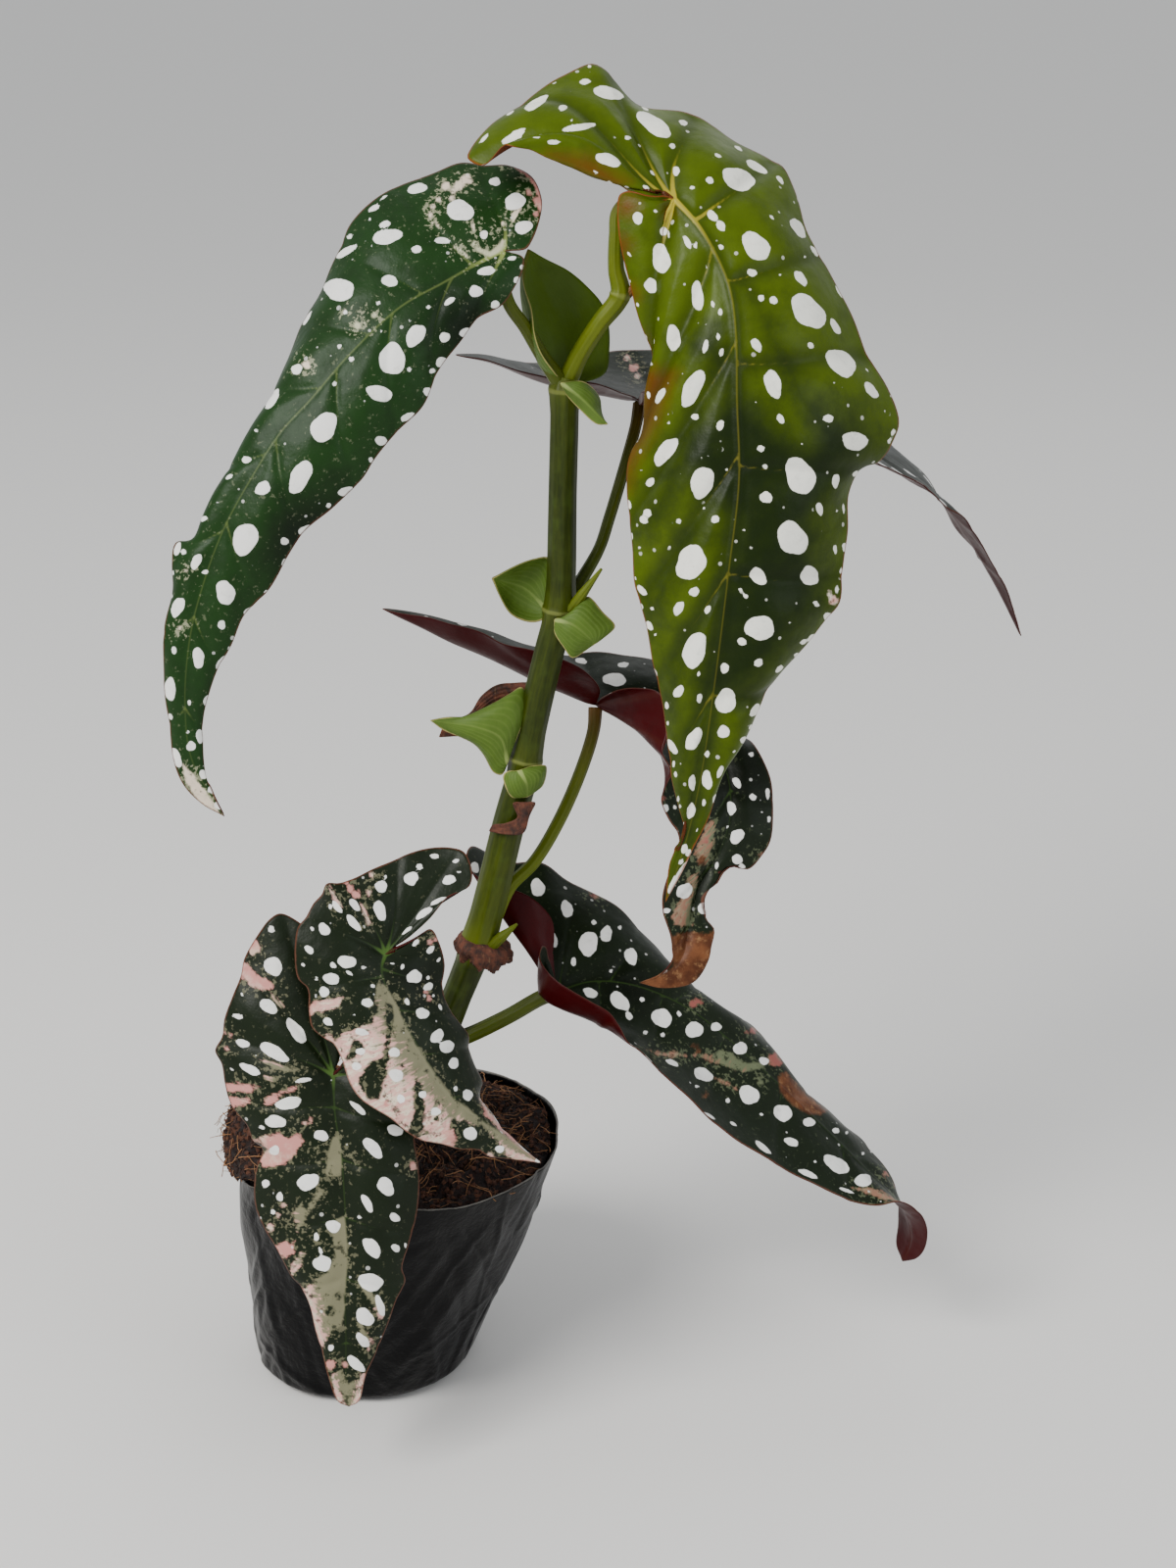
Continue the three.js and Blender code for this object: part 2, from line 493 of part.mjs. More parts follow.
// The largest body of a solid as a geometry; loose scraps from a cut are dropped.
function toGeometry(solid) {
  const bodies = solid.simplify(CLEAN_STEP).decompose().sort((a, b) => b.volume() - a.volume());
  const { vertProperties, triVerts } = bodies[0].getMesh();
  const geometry = new THREE.BufferGeometry();
  geometry.setAttribute('position', new THREE.Float32BufferAttribute(vertProperties, 3));
  geometry.setIndex([...triVerts]);
  return geometry;
}

// The bag's outside radius at a height and an angle round it, with its soft creases.
function bagRadius(height, angle) {
  const rise = height / BAG.height;
  const taper = THREE.MathUtils.lerp(BAG.baseRadius, BAG.rimRadius, rise ** 0.9);
  const folds = Math.sin(5 * angle + 4 * rise) + 0.6 * Math.sin(9 * angle - 7 * rise + 1);
  const pinch = BAG.leftPinch * rise * Math.max(0, -Math.cos(angle)) ** 2;
  return taper - pinch + BAG.crinkle * folds * (0.3 + 0.7 * Math.sin(Math.PI * Math.min(1, rise)));
}

function bagPoint(height, angle, inset, lift = 0) {
  const radius = bagRadius(height, angle) - inset;
  const shift = (BAG.rimShift * height) / BAG.height;
  return [shift + radius * Math.cos(angle), radius * Math.sin(angle), height + lift];
}

// How far the rim stands above or below its middle height: it sags on the left.
function rimWave(angle) {
  const sag = -6 * Math.max(0, -Math.cos(angle)) ** 2;
  return sag + 1.2 * Math.sin(3 * angle + 0.6) + 0.6 * Math.sin(7 * angle);
}

// A closed body swept round the bag's axis from rings of points, bottom middle first.
function ringBody(rings, bottom, top) {
  const sides = rings[0].length;
  const positions = rings.flat(2);
  const indices = [];
  rings.slice(0, -1).forEach((ring, i) => {
    for (let k = 0; k < sides; k += 1) {
      const next = (k + 1) % sides;
      const a = i * sides + k;
      const b = i * sides + next;
      indices.push(a, b, a + sides, b, b + sides, a + sides);
    }
  });
  const count = positions.length / 3;
  positions.push(...bottom, ...top);
  const lastRing = (rings.length - 1) * sides;
  for (let k = 0; k < sides; k += 1) {
    const next = (k + 1) % sides;
    indices.push(count, next, k);
    indices.push(count + 1, lastRing + k, lastRing + next);
  }
  const geometry = new THREE.BufferGeometry();
  geometry.setAttribute('position', new THREE.Float32BufferAttribute(positions, 3));
  geometry.setIndex(indices);
  return geometry;
}

function around(sides, pointAt) {
  return Array.from({ length: sides }, (_, k) => pointAt((2 * Math.PI * k) / sides));
}

// The thin-walled grow bag: flat underside, creased wall and a soft uneven rim.
function makeBag() {
  const sides = 40;
  const rings = [around(sides, (a) => bagPoint(0, a, 3.5))];
  BAG.rings.forEach((height) => rings.push(around(sides, (a) => bagPoint(height, a, 0))));
  rings.push(around(sides, (a) => bagPoint(BAG.height, a, 0, rimWave(a))));
  rings.push(around(sides, (a) => bagPoint(BAG.height, a, BAG.wall, rimWave(a))));
  BAG.rings.slice().reverse().forEach((height) => {
    rings.push(around(sides, (a) => bagPoint(height, a, BAG.wall)));
  });
  rings.push(around(sides, (a) => bagPoint(BAG.wall, a, 3.5 + BAG.wall)));
  return ringBody(rings, [0, 0, 0], [0, 0, BAG.wall]);
}

// Coir fills the bag and is heaped on the left, lumpy on top.
function soilHeight(x, y) {
  const heap = SOIL_MOUND * THREE.MathUtils.smoothstep(-x, -10, 38);
  const lumps = 1.1 * Math.sin(0.35 * x + 1) * Math.cos(0.31 * y) + 0.8 * Math.sin(0.6 * x - 0.5 * y);
  return SOIL_LEVEL + heap + lumps;
}

function makeSoil(cane) {
  const sides = 40;
  const inset = BAG.wall + 2 * GAP;
  const floor = BAG.wall + GAP;
  const rings = [around(sides, (a) => [...bagPoint(floor, a, 3.5 + 2 * inset).slice(0, 2), floor])];
  BAG.rings.forEach((height, i) => {
    rings.push(around(sides, (a) => bagPoint(height, a, inset, i === 0 ? 2 * GAP : 0)));
  });
  // Three rings round the brim: level with the rim, or on the left up and out over it.
  [[-2.5, 0.8, 0, 0], [-1.5, 3.5, 0.8, SOIL_BULGE], [-0.5, 10, 3, SOIL_BULGE]].forEach((brim) => {
    const [low, high, inward, outward] = brim;
    rings.push(around(sides, (a) => {
      const left = Math.max(0, -Math.cos(a - 0.1)) ** 1.5;
      const over = THREE.MathUtils.smoothstep(left, 0.1, 0.5);
      const out = THREE.MathUtils.smoothstep(left, 0.55, 1);
      const push = THREE.MathUtils.lerp(-inward * (1 - over), outward, out);
      const lift = rimWave(a) + THREE.MathUtils.lerp(low, high, over);
      return bagPoint(BAG.height, a, inset + 0.6 - push, lift);
    }));
  });
  const edge = rings[rings.length - 1];
  const shift = BAG.rimShift;
  [0.86, 0.66, 0.45, 0.25].forEach((share) => {
    rings.push(edge.map(([x, y]) => {
      const px = shift + (x - shift) * share;
      const py = y * share;
      return [px, py, soilHeight(px, py)];
    }));
  });
  const body = ringBody(rings, [0, 0, floor], [shift, 0, soilHeight(shift, 0)]);
  return toGeometry(toSolid(body).subtract(cane));
}

// Ragged papery frill round the cane: a thin cone with an uneven edge.
function makeFrill() {
  const { at, lean, inner, spread, drop, thick, sides } = FRILL;
  const rings = [
    [inner, 0], [inner + spread * 0.5, -drop * 0.35], [inner + spread, -drop],
    [inner + spread - 0.2, -drop - thick], [inner + spread * 0.45, -drop * 0.35 - thick], [inner, -thick],
  ];
  const positions = [];
  const indices = [];
  rings.forEach(([radius, rise], level) => {
    const outer = (radius - inner) / spread;
    const droop = level > 1 && level < 4 ? 0.25 : 0.1;
    const ring = around(sides, (a) => {
      const ragged = 1 + outer * (0.22 * Math.sin(5 * a) + 0.14 * Math.sin(11 * a + 1));
      const x = radius * ragged * Math.cos(a);
      const y = radius * ragged * Math.sin(a);
      const sag = rise * (1 + droop * Math.sin(3 * a + 0.5));
      return [at[0] + x, at[1] + y, at[2] + sag - lean * x];
    });
    positions.push(...ring.flat());
  });
  rings.forEach((ring, i) => {
    const following = (i + 1) % rings.length;
    for (let k = 0; k < sides; k += 1) {
      const next = (k + 1) % sides;
      const a = i * sides + k;
      const b = i * sides + next;
      const c = following * sides + k;
      const d = following * sides + next;
      indices.push(a, c, b, b, c, d);
    }
  });
  const geometry = new THREE.BufferGeometry();
  geometry.setAttribute('position', new THREE.Float32BufferAttribute(positions, 3));
  geometry.setIndex(indices);
  return geometry;
}

// The cane with every leaf stalk and side bud grown into it, and a swollen copy of it
// that cuts clearances in what stands round it.
function growCane(extra) {
  let cane = toSolid(stemGeometry(CANE, 12, 38, extra));
  Object.values(STALKS).forEach((stalk) => {
    cane = cane.add(toSolid(stemGeometry(stalk, 8, 10, extra)));
  });
  SIDE_BUDS.forEach((bud) => {
    cane = cane.add(toSolid(stemGeometry(bud, 6, 4, extra)));
  });
  return cane;
}

function makeCane() {
  let cane = growCane(0);
  Object.values(LEAVES).forEach((leaf) => {
    cane = cane.subtract(bladeSolid(leaf, 3, BLADE_THICKNESS + 2 * GAP));
  });
  return toGeometry(cane);
}

const group = new THREE.Group();

function addPart(name, geometry, color, roughness) {
  const material = new THREE.MeshStandardMaterial({ color, roughness, metalness: 0 });
  const mesh = new THREE.Mesh(geometry, material);
  mesh.name = name;
  group.add(mesh);
}

const clearance = growCane(GAP);
addPart('grow_bag', toGeometry(toSolid(makeBag())), 0x0b0b0c, 0.35);
addPart('soil', makeSoil(clearance), 0x3a2318, 0.95);
addPart('cane', makeCane(), 0x4f7a22, 0.5);
Object.entries(LEAVES).forEach(([name, leaf]) => {
  addPart(name, toGeometry(bladeSolid(leaf, 3, BLADE_THICKNESS)), leaf.colour, 0.45);
});
Object.entries(STIPULES).forEach(([name, leaf]) => {
  const solid = bladeSolid(leaf, 2, STIPULE_THICKNESS).subtract(clearance);
  addPart(name, toGeometry(solid), leaf.colour, 0.55);
});
addPart('husk_frill', toGeometry(toSolid(makeFrill()).subtract(clearance)), BROWN, 0.85);

export default group;
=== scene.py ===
import math

import bpy
import numpy as np
from mathutils.kdtree import KDTree
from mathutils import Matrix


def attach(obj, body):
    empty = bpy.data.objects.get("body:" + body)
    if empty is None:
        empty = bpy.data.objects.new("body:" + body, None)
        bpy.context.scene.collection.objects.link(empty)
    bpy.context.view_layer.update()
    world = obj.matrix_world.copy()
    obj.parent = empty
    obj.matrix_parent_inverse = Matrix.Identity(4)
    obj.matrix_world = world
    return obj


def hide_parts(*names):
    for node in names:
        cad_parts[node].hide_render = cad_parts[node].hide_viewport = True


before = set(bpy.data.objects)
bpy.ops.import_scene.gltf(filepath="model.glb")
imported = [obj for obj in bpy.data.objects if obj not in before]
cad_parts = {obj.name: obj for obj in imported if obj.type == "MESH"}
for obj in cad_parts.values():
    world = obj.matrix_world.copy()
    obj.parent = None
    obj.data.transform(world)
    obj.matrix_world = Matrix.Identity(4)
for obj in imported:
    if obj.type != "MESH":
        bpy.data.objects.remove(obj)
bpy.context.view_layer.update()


# ---------------------------------------------------------------- the view
# The plant is looked at from in front and a little above, through a long lens. Its leaves
# were all measured from this one standpoint, so these numbers also turn marks into places.
EYE = np.array([0.064, -0.683, 0.4195])
TILT = math.radians(20)
LENS_MM = 63
SENSOR_MM = 36
PICTURE = np.array([1200, 1600])
FOCAL = LENS_MM / SENSOR_MM * PICTURE[1]

camera_data = bpy.data.cameras.new("camera")
camera_data.lens = LENS_MM
camera_data.sensor_width = SENSOR_MM
camera_data.clip_start = 0.01
camera_data.clip_end = 100
camera = bpy.data.objects.new("camera", camera_data)
camera.location = EYE
camera.rotation_euler = (math.pi / 2 - TILT, 0, 0)
bpy.context.scene.collection.objects.link(camera)
bpy.context.scene.camera = camera


# ---------------------------------------------------------------- the studio
# A sheet of pale paper to stand on, a large soft light from the upper left, a weaker one
# from the right, one from behind that edges the leaves, and an even pale sky.
FLOOR_HALF = 12.0
PAPER = (0.74, 0.73, 0.71, 1)
SKY = {"Color": (0.86, 0.88, 0.9, 1), "Strength": 0.85}
LAMPS = {
    "key_light": {"at": (-0.75, -0.85, 1.15), "size": 0.8, "watts": 27, "tint": (1, 0.98, 0.95)},
    "fill_light": {"at": (1.3, -0.9, 0.7), "size": 1.2, "watts": 6, "tint": (0.94, 0.97, 1)},
    "rim_light": {"at": (0.35, 1.1, 1.0), "size": 0.9, "watts": 1.4, "tint": (1, 1, 1)},
}
LIT_CENTRE = np.array([0.06, 0.0, 0.17])


def fill(made, inputs):
    """Sets or links the inputs of a node."""
    for key, value in inputs.items():
        if isinstance(value, bpy.types.NodeSocket):
            made.id_data.links.new(value, made.inputs[key])
        else:
            made.inputs[key].default_value = value


def node(tree, kind, inputs=None, **settings):
    """A shader or geometry node with its settings, its values and its incoming links."""
    made = tree.nodes.new(kind)
    for key, value in settings.items():
        setattr(made, key, value)
    fill(made, inputs or {})
    return made


def here(tree):
    """Where a point is on its piece."""
    return node(tree, "ShaderNodeTexCoord").outputs["Object"]


def cloud(where, scale, detail=2.0, roughness=0.5):
    """Soft noise, about 0.5 on average."""
    made = node(where.id_data, "ShaderNodeTexNoise",
                {"Vector": where, "Scale": scale, "Detail": detail, "Roughness": roughness})
    return made.outputs["Fac"]


def bumped(height, strength, depth):
    """The normal of a surface that a height roughens, to a depth in metres."""
    made = node(height.id_data, "ShaderNodeBump",
                {"Height": height, "Strength": strength, "Distance": depth})
    return made.outputs["Normal"]


def new_material(name):
    """An empty node material, with its Principled shader."""
    material = bpy.data.materials.new(name)
    material.use_nodes = True
    return material, material.node_tree, material.node_tree.nodes["Principled BSDF"]


def new_object(name, vertices, faces, material, smooth=True):
    """A mesh object at the origin, smooth shaded, in the scene."""
    mesh = bpy.data.meshes.new(name)
    mesh.from_pydata(vertices, [], faces)
    mesh.materials.append(material)
    mesh.polygons.foreach_set("use_smooth", np.full(len(mesh.polygons), smooth))
    mesh.update()
    made = bpy.data.objects.new(name, mesh)
    bpy.context.scene.collection.objects.link(made)
    return made


paper, paper_tree, paper_shader = new_material("studio_paper")
paper_grain = cloud(here(paper_tree), 900, 3.0)
fill(paper_shader, {"Base Color": PAPER, "Roughness": 0.85, "Normal": bumped(paper_grain, 0.08, 0.0002)})
corners = [(x * FLOOR_HALF, y * FLOOR_HALF, 0) for x, y in ((-1, -1), (1, -1), (1, 1), (-1, 1))]
floor = new_object("floor", corners, [(0, 1, 2, 3)], paper, smooth=False)

for lamp_name, lamp in LAMPS.items():
    light = bpy.data.lights.new(lamp_name, "AREA")
    light.shape = "DISK"
    light.size = lamp["size"]
    light.energy = lamp["watts"]
    light.color = lamp["tint"]
    stand = bpy.data.objects.new(lamp_name, light)
    stand.location = lamp["at"]
    away = np.array(lamp["at"]) - LIT_CENTRE
    stand.rotation_euler = (math.acos(away[2] / np.linalg.norm(away)), 0,
                            math.atan2(away[1], away[0]) + math.pi / 2)
    bpy.context.scene.collection.objects.link(stand)

sky = bpy.data.worlds.new("studio_sky")
sky.use_nodes = True
fill(sky.node_tree.nodes["Background"], SKY)
bpy.context.scene.world = sky


# ---------------------------------------------------------------- leaf_crown
# The youngest full leaf, thin, glossy and still yellow-green, with one big ear thrown back
# over its stalk. The blade is one sheet of leaf tissue, quilted between its sunken veins,
# and grows out of the end of its stalk.
BLADE_MM = 0.5
MARK_MM = 1 / 3.65  # what one mark of the view measures at the plant
CALM = 0.04  # share of a margin over which its small waves die out towards the midrib
RIB_EASE = 1.2  # how slowly the ribs that fan out move on along the midrib
MIDRIB_THINS = 0.35  # the midrib ends as thin as a side vein is this far out
VEIN_END = 0.96  # as a share of the way to the margin
VEIN_STEPS = 90
VEIN_FADES = 0.6  # share of its depth that a vein has lost at the margin
PUFF_MM = 5  # distance from a vein at which the quilt is full
SLOW_WAVE_M = 0.034
SLOW_WAVE_FROM_MM = 15  # distance from the midrib at which the slow waves are full
QUICK_WAVE_M = 0.016  # the small waves of the margin
RELIEF_FROM_MM = 3
RIM_MM = 20  # the distance to the margin is not followed further in
THINNED = 0.45  # share of the thickness that is lost at the margin
SPOT_TRIM = 0.93  # a white spot ends at this share of its measured size
STREWN_MM = (0.6, 2.6)  # radii of the spots strewn by chance
SPOT_GAP_MM = 1.2
FAR_MARKS = 4000  # added to a point that faces away, so that no measured spot lands on it
EDGE_ON = 0.12  # a blade turned away further than this shows no measured spot
CLEAR_HUB_MM = 8  # no strewn spot starts nearer to the stalk
OUTSIDE_MM = -9.0  # depth in a patch, for a point far from all of them


def tint(code):
    """A colour written as a paint chip's hex code, for a shader socket."""
    parts = [int(code[k:k + 2], 16) / 255 for k in (1, 3, 5)]
    return tuple(p / 12.92 if p < 0.04045 else ((p + 0.055) / 1.055) ** 2.4 for p in parts) + (1,)


def place(marks):
    """Marks [x, y, depth in millimetres] of the view as places in metres."""
    marks = np.asarray(marks, float)
    side, down = ((marks[:, :2] - PICTURE / 2) / FOCAL).T
    ray = np.stack([side, math.cos(TILT) - down * math.sin(TILT),
                    -math.sin(TILT) - down * math.cos(TILT)], axis=1)
    reach = (marks[:, 2] / 1000 - EYE[1]) / ray[:, 1]
    return EYE + ray * reach[:, None]


def seen_at(points):
    """The marks [x, y] at which places in metres are seen."""
    away = points - EYE
    ahead = away[:, 1] * math.cos(TILT) - away[:, 2] * math.sin(TILT)
    rise = away[:, 1] * math.sin(TILT) + away[:, 2] * math.cos(TILT)
    return np.stack([PICTURE[0] / 2 + FOCAL * away[:, 0] / ahead,
                     PICTURE[1] / 2 - FOCAL * rise / ahead], axis=1)


def curve_through(points):
    """A smooth line through places, as a function that spends as long between any two."""
    points = np.asarray(points, float)
    ends = np.vstack([2 * points[0] - points[1], points, 2 * points[-1] - points[-2]])

    def at_share(share):
        spot = np.clip(share, 0, 1) * (len(points) - 1)
        first = np.minimum(spot.astype(int), len(points) - 2)
        blend = (spot - first)[:, None]
        a, b, c, d = (ends[first + k] for k in range(4))
        ab, bc, cd = (np.sqrt(np.linalg.norm(q - p, axis=1))[:, None] for p, q in ((a, b), (b, c), (c, d)))
        leave = ((b - a) / ab - (c - a) / (ab + bc) + (c - b) / bc) * bc
        arrive = ((c - b) / bc - (d - b) / (bc + cd) + (d - c) / cd) * bc
        square = 3 * (c - b) - 2 * leave - arrive
        cube = 2 * (b - c) + leave + arrive
        return b + blend * (leave + blend * (square + blend * cube))

    return at_share


def smooth_line(points):
    """A smooth line through places, as a function of the share of its length."""
    curve = curve_through(points)
    shares = np.linspace(0, 1, 401)
    steps = np.linalg.norm(np.diff(curve(shares), axis=0), axis=1)
    run = np.concatenate([[0], np.cumsum(steps)])
    return lambda part: curve(np.interp(np.asarray(part, float) * run[-1], run, shares))


def profile_at(values, part):
    """Evenly spaced values read off a smooth line through them."""
    spot = part * (len(values) - 1)
    low = np.minimum(spot.astype(int), len(values) - 2)
    blend = spot - low
    blend = blend * blend * (3 - 2 * blend)
    values = np.asarray(values, float)
    return values[low] * (1 - blend) + values[low + 1] * blend


def grid_normals(grid, hub_rows):
    """The upper side's direction at each point of a blade. The ribs that fan out share one hub."""
    facing = np.cross(np.gradient(grid, axis=0), np.gradient(grid, axis=1))
    facing /= np.maximum(np.linalg.norm(facing, axis=2, keepdims=True), 1e-12)
    if hub_rows:
        middle = grid.shape[1] // 2
        hub = facing[:hub_rows, [middle - 2, middle + 2]].sum(axis=(0, 1))
        facing[:hub_rows, middle] = hub / np.linalg.norm(hub)
    return facing


def evened(values, spread, ends):
    """Rows of values smoothed along their first axis."""
    reach = int(3 * spread)
    weights = np.exp(-0.5 * (np.arange(-reach, reach + 1) / spread) ** 2)
    flat = values.reshape(len(values), -1)
    flat = np.pad(flat, ((reach, reach), (0, 0)), **ends)
    flat = np.apply_along_axis(np.convolve, 0, flat, weights / weights.sum(), "valid")
    return flat.reshape(values.shape)


def ripple(points, wavelength, seed):
    """A gentle swell over places, between about -1 and 1."""
    rng = np.random.default_rng(seed)
    total = np.zeros(points.shape[:-1])
    for _ in range(6):
        way = rng.normal(size=points.shape[-1])
        way *= 2 * math.pi / (np.linalg.norm(way) * wavelength * rng.uniform(0.7, 1.5))
        total += np.sin(points @ way + rng.uniform(0, 2 * math.pi))
    return total / 3


def blade_surface(leaf, rows, columns):
    """The blade's middle surface, as rows of places from the left margin to the right one."""
    base, tip = leaf["midrib"][0], leaf["midrib"][-1]
    rib = smooth_line(place(leaf["midrib"]))
    part = np.arange(1, rows) / rows
    run = np.clip((part - leaf["fan"]) / (1 - leaf["fan"]), 0, None) ** RIB_EASE
    spine = rib(run)[:, None]
    across = np.arange(-columns, columns + 1) / columns
    share = np.abs(across)[None, :, None]
    grid = np.repeat(spine, 2 * columns + 1, axis=1)
    for side, name in enumerate(("left", "right")):
        edge = smooth_line(place([base, *leaf[name], tip]))(part ** leaf["pace"][side])
        calm = evened(edge, CALM * rows, {"mode": "reflect", "reflect_type": "odd"})[:, None]
        edge = edge[:, None]
        half = across < 0 if side == 0 else across >= 0
        grid[:, half] = (spine + (calm - spine) * share + (edge - calm) * share ** 3)[:, half]
        if leaf.get("lift", {}).get("side") == side:
            lift = leaf["lift"]
            arch = np.sin(math.pi * np.clip((part - lift["from"]) / (lift["to"] - lift["from"]), 0, 1))
            rise = arch[:, None] * np.sin(math.pi * np.abs(across) ** 1.5)[None] * half
            grid += rise[:, :, None] * np.array(lift["by"]) / 1000
    swell = [profile_at(leaf["swell"][side], part) for side in (0, 1)]
    rise = np.where(across[None] < 0, swell[0][:, None], swell[1][:, None]) / 1000
    hub_rows = int(leaf["fan"] * rows)
    ups = evened(grid_normals(grid, hub_rows), 0.5 * CALM * rows, {"mode": "edge"})
    return grid + ups * (rise * np.sin(math.pi * np.abs(across)))[:, :, None], hub_rows


def vein_reach(grid, leaf):
    """Millimetres from each point of a blade to its nearest vein, and how far out that vein is."""
    rows, width = grid.shape[:2]
    middle = width // 2
    marks = [(grid[i, middle], MIDRIB_THINS * i / rows) for i in range(rows)]
    for side, name in ((-1, "left_veins"), (1, "right_veins")):
        for start in leaf[name]:
            for out in np.linspace(0, VEIN_END, VEIN_STEPS):
                lead = start + leaf["sweep"] * out * (1 - 0.5 * out) * (1 - start)
                i = min(max(lead * (rows + 1) - 1, 0), rows - 1.001)
                j = middle + side * out * middle
                low, left = int(i), min(int(j), width - 2)
                down, right = i - low, j - left
                near = grid[low, left] * (1 - right) + grid[low, left + 1] * right
                far = grid[low + 1, left] * (1 - right) + grid[low + 1, left + 1] * right
                marks.append((near * (1 - down) + far * down, out))
    tree = KDTree(len(marks))
    for k, (spot, _) in enumerate(marks):
        tree.insert(spot, k)
    tree.balance()
    found = [tree.find(spot) for spot in grid.reshape(-1, 3)]
    reach = np.array([hit[2] for hit in found]) * 1000
    out = np.array([marks[hit[1]][1] for hit in found])
    return reach.reshape(rows, width), out.reshape(rows, width)


def spot_reach(points, facing, spots, seed):
    """Millimetres from each point to the edge of the nearest white spot, below 0 inside it.
    A spot is x, y, half its length, half its width and its turn; a round one ends after x, y, r."""
    rng = np.random.default_rng(seed)
    marks = seen_at(points)
    reach = np.full(len(points), -OUTSIDE_MM)
    for spot in spots:
        x, y, long, short, turn = *spot, *(spot[2], 0)[len(spot) - 3:]
        wave = rng.uniform(0, 2 * math.pi, 3)
        off = marks - (x, y)
        apart = np.hypot(*off.T) + np.where(facing > 0.02, 0, FAR_MARKS)
        home = points[np.argmin(apart)]
        near = np.linalg.norm(points - home, axis=1) < (long * 1.6 + 12) * MARK_MM / 1000 * 1.5
        dx, dy = off[near].T
        turned = math.radians(turn)
        u = (dx * math.cos(turned) + dy * math.sin(turned)) / long
        w = (dy * math.cos(turned) - dx * math.sin(turned)) / short
        angle = np.arctan2(w, u)
        rough = 0.06 * np.sin(2 * angle + wave[0]) + 0.05 * np.sin(3 * angle + wave[1])
        rough += 0.03 * np.sin(5 * angle + wave[2])
        edge = (np.hypot(u, w) / (1 + rough) - SPOT_TRIM) * math.sqrt(long * short) * MARK_MM
        reach[near] = np.minimum(reach[near], edge)
    return reach


def scatter_spots(points, reach, allowed, count, seed):
    """Adds round spots by chance where none was measured; each keeps clear of the others."""
    rng = np.random.default_rng(seed)
    homes = np.flatnonzero(allowed)
    for home in rng.choice(homes, min(count, len(homes)), replace=False):
        radius = rng.uniform(*STREWN_MM) * rng.uniform(0.4, 1)
        if reach[home] < radius + SPOT_GAP_MM:
            continue
        apart = np.linalg.norm(points - points[home], axis=1) * 1000
        reach = np.minimum(reach, apart - radius)
    return reach


def patch_field(points, patches):
    """Millimetres inside patches of another colour or of painted shade: round marks [x, y, radius] or
    outlines.
    """
    marks = seen_at(points)
    field = np.full(len(points), OUTSIDE_MM)
    for patch in patches:
        if np.isscalar(patch[0]):
            depth = patch[2] - np.hypot(marks[:, 0] - patch[0], marks[:, 1] - patch[1])
        else:
            outline = np.array(patch, float)
            depth = np.full(len(points), 1e6)
            inside = np.zeros(len(points), bool)
            for start, end in zip(outline, np.roll(outline, -1, axis=0)):
                side = end - start
                off = marks - start
                share = np.clip(off @ side / (side @ side), 0, 1)
                depth = np.minimum(depth, np.hypot(*(off - share[:, None] * side).T))
                if start[1] != end[1]:
                    crossed = (start[1] > marks[:, 1]) != (end[1] > marks[:, 1])
                    inside ^= crossed & (off[:, 0] < side[0] * off[:, 1] / side[1])
            depth = np.where(inside, depth, -depth)
        field = np.maximum(field, depth * MARK_MM)
    return field


def set_values(mesh, name, values):
    """A number at each vertex, for the material to read."""
    mesh.attributes.new(name, "FLOAT", "POINT").data.foreach_set("value", np.asarray(values, np.float32))


def sheet_faces(rows, width):
    """Faces of a closed thin sheet: an upper and a lower layer of rows, with a point at each end."""
    count = rows * width
    layer = count + 2
    corner = (np.arange(rows - 1)[:, None] * width + np.arange(width - 1)[None]).ravel()
    upper = np.stack([corner, corner + width, corner + width + 1, corner + 1], axis=1)
    faces = [tuple(f) for f in upper.tolist()]
    last = (rows - 1) * width
    faces += [(count, j, j + 1) for j in range(width - 1)]
    faces += [(count + 1, last + j + 1, last + j) for j in range(width - 1)]
    faces += [tuple(k + layer for k in reversed(face)) for face in faces]
    rim = [count, *range(0, count, width), count + 1, *range(count - 1, 0, -width)]
    faces += [(b, a, a + layer, b + layer) for a, b in zip(rim, rim[1:] + rim[:1])]
    return faces


def welded(vertices, faces, closest=1e-6):
    """The mesh with its doubled vertices joined, and which of the old vertices were kept."""
    keys = np.round(vertices / closest).astype(np.int64)
    _, kept, where = np.unique(keys, axis=0, return_index=True, return_inverse=True)
    where = where.ravel()
    joined = [tuple(dict.fromkeys(where[list(face)].tolist())) for face in faces]
    return vertices[kept], [face for face in joined if len(face) > 2], kept


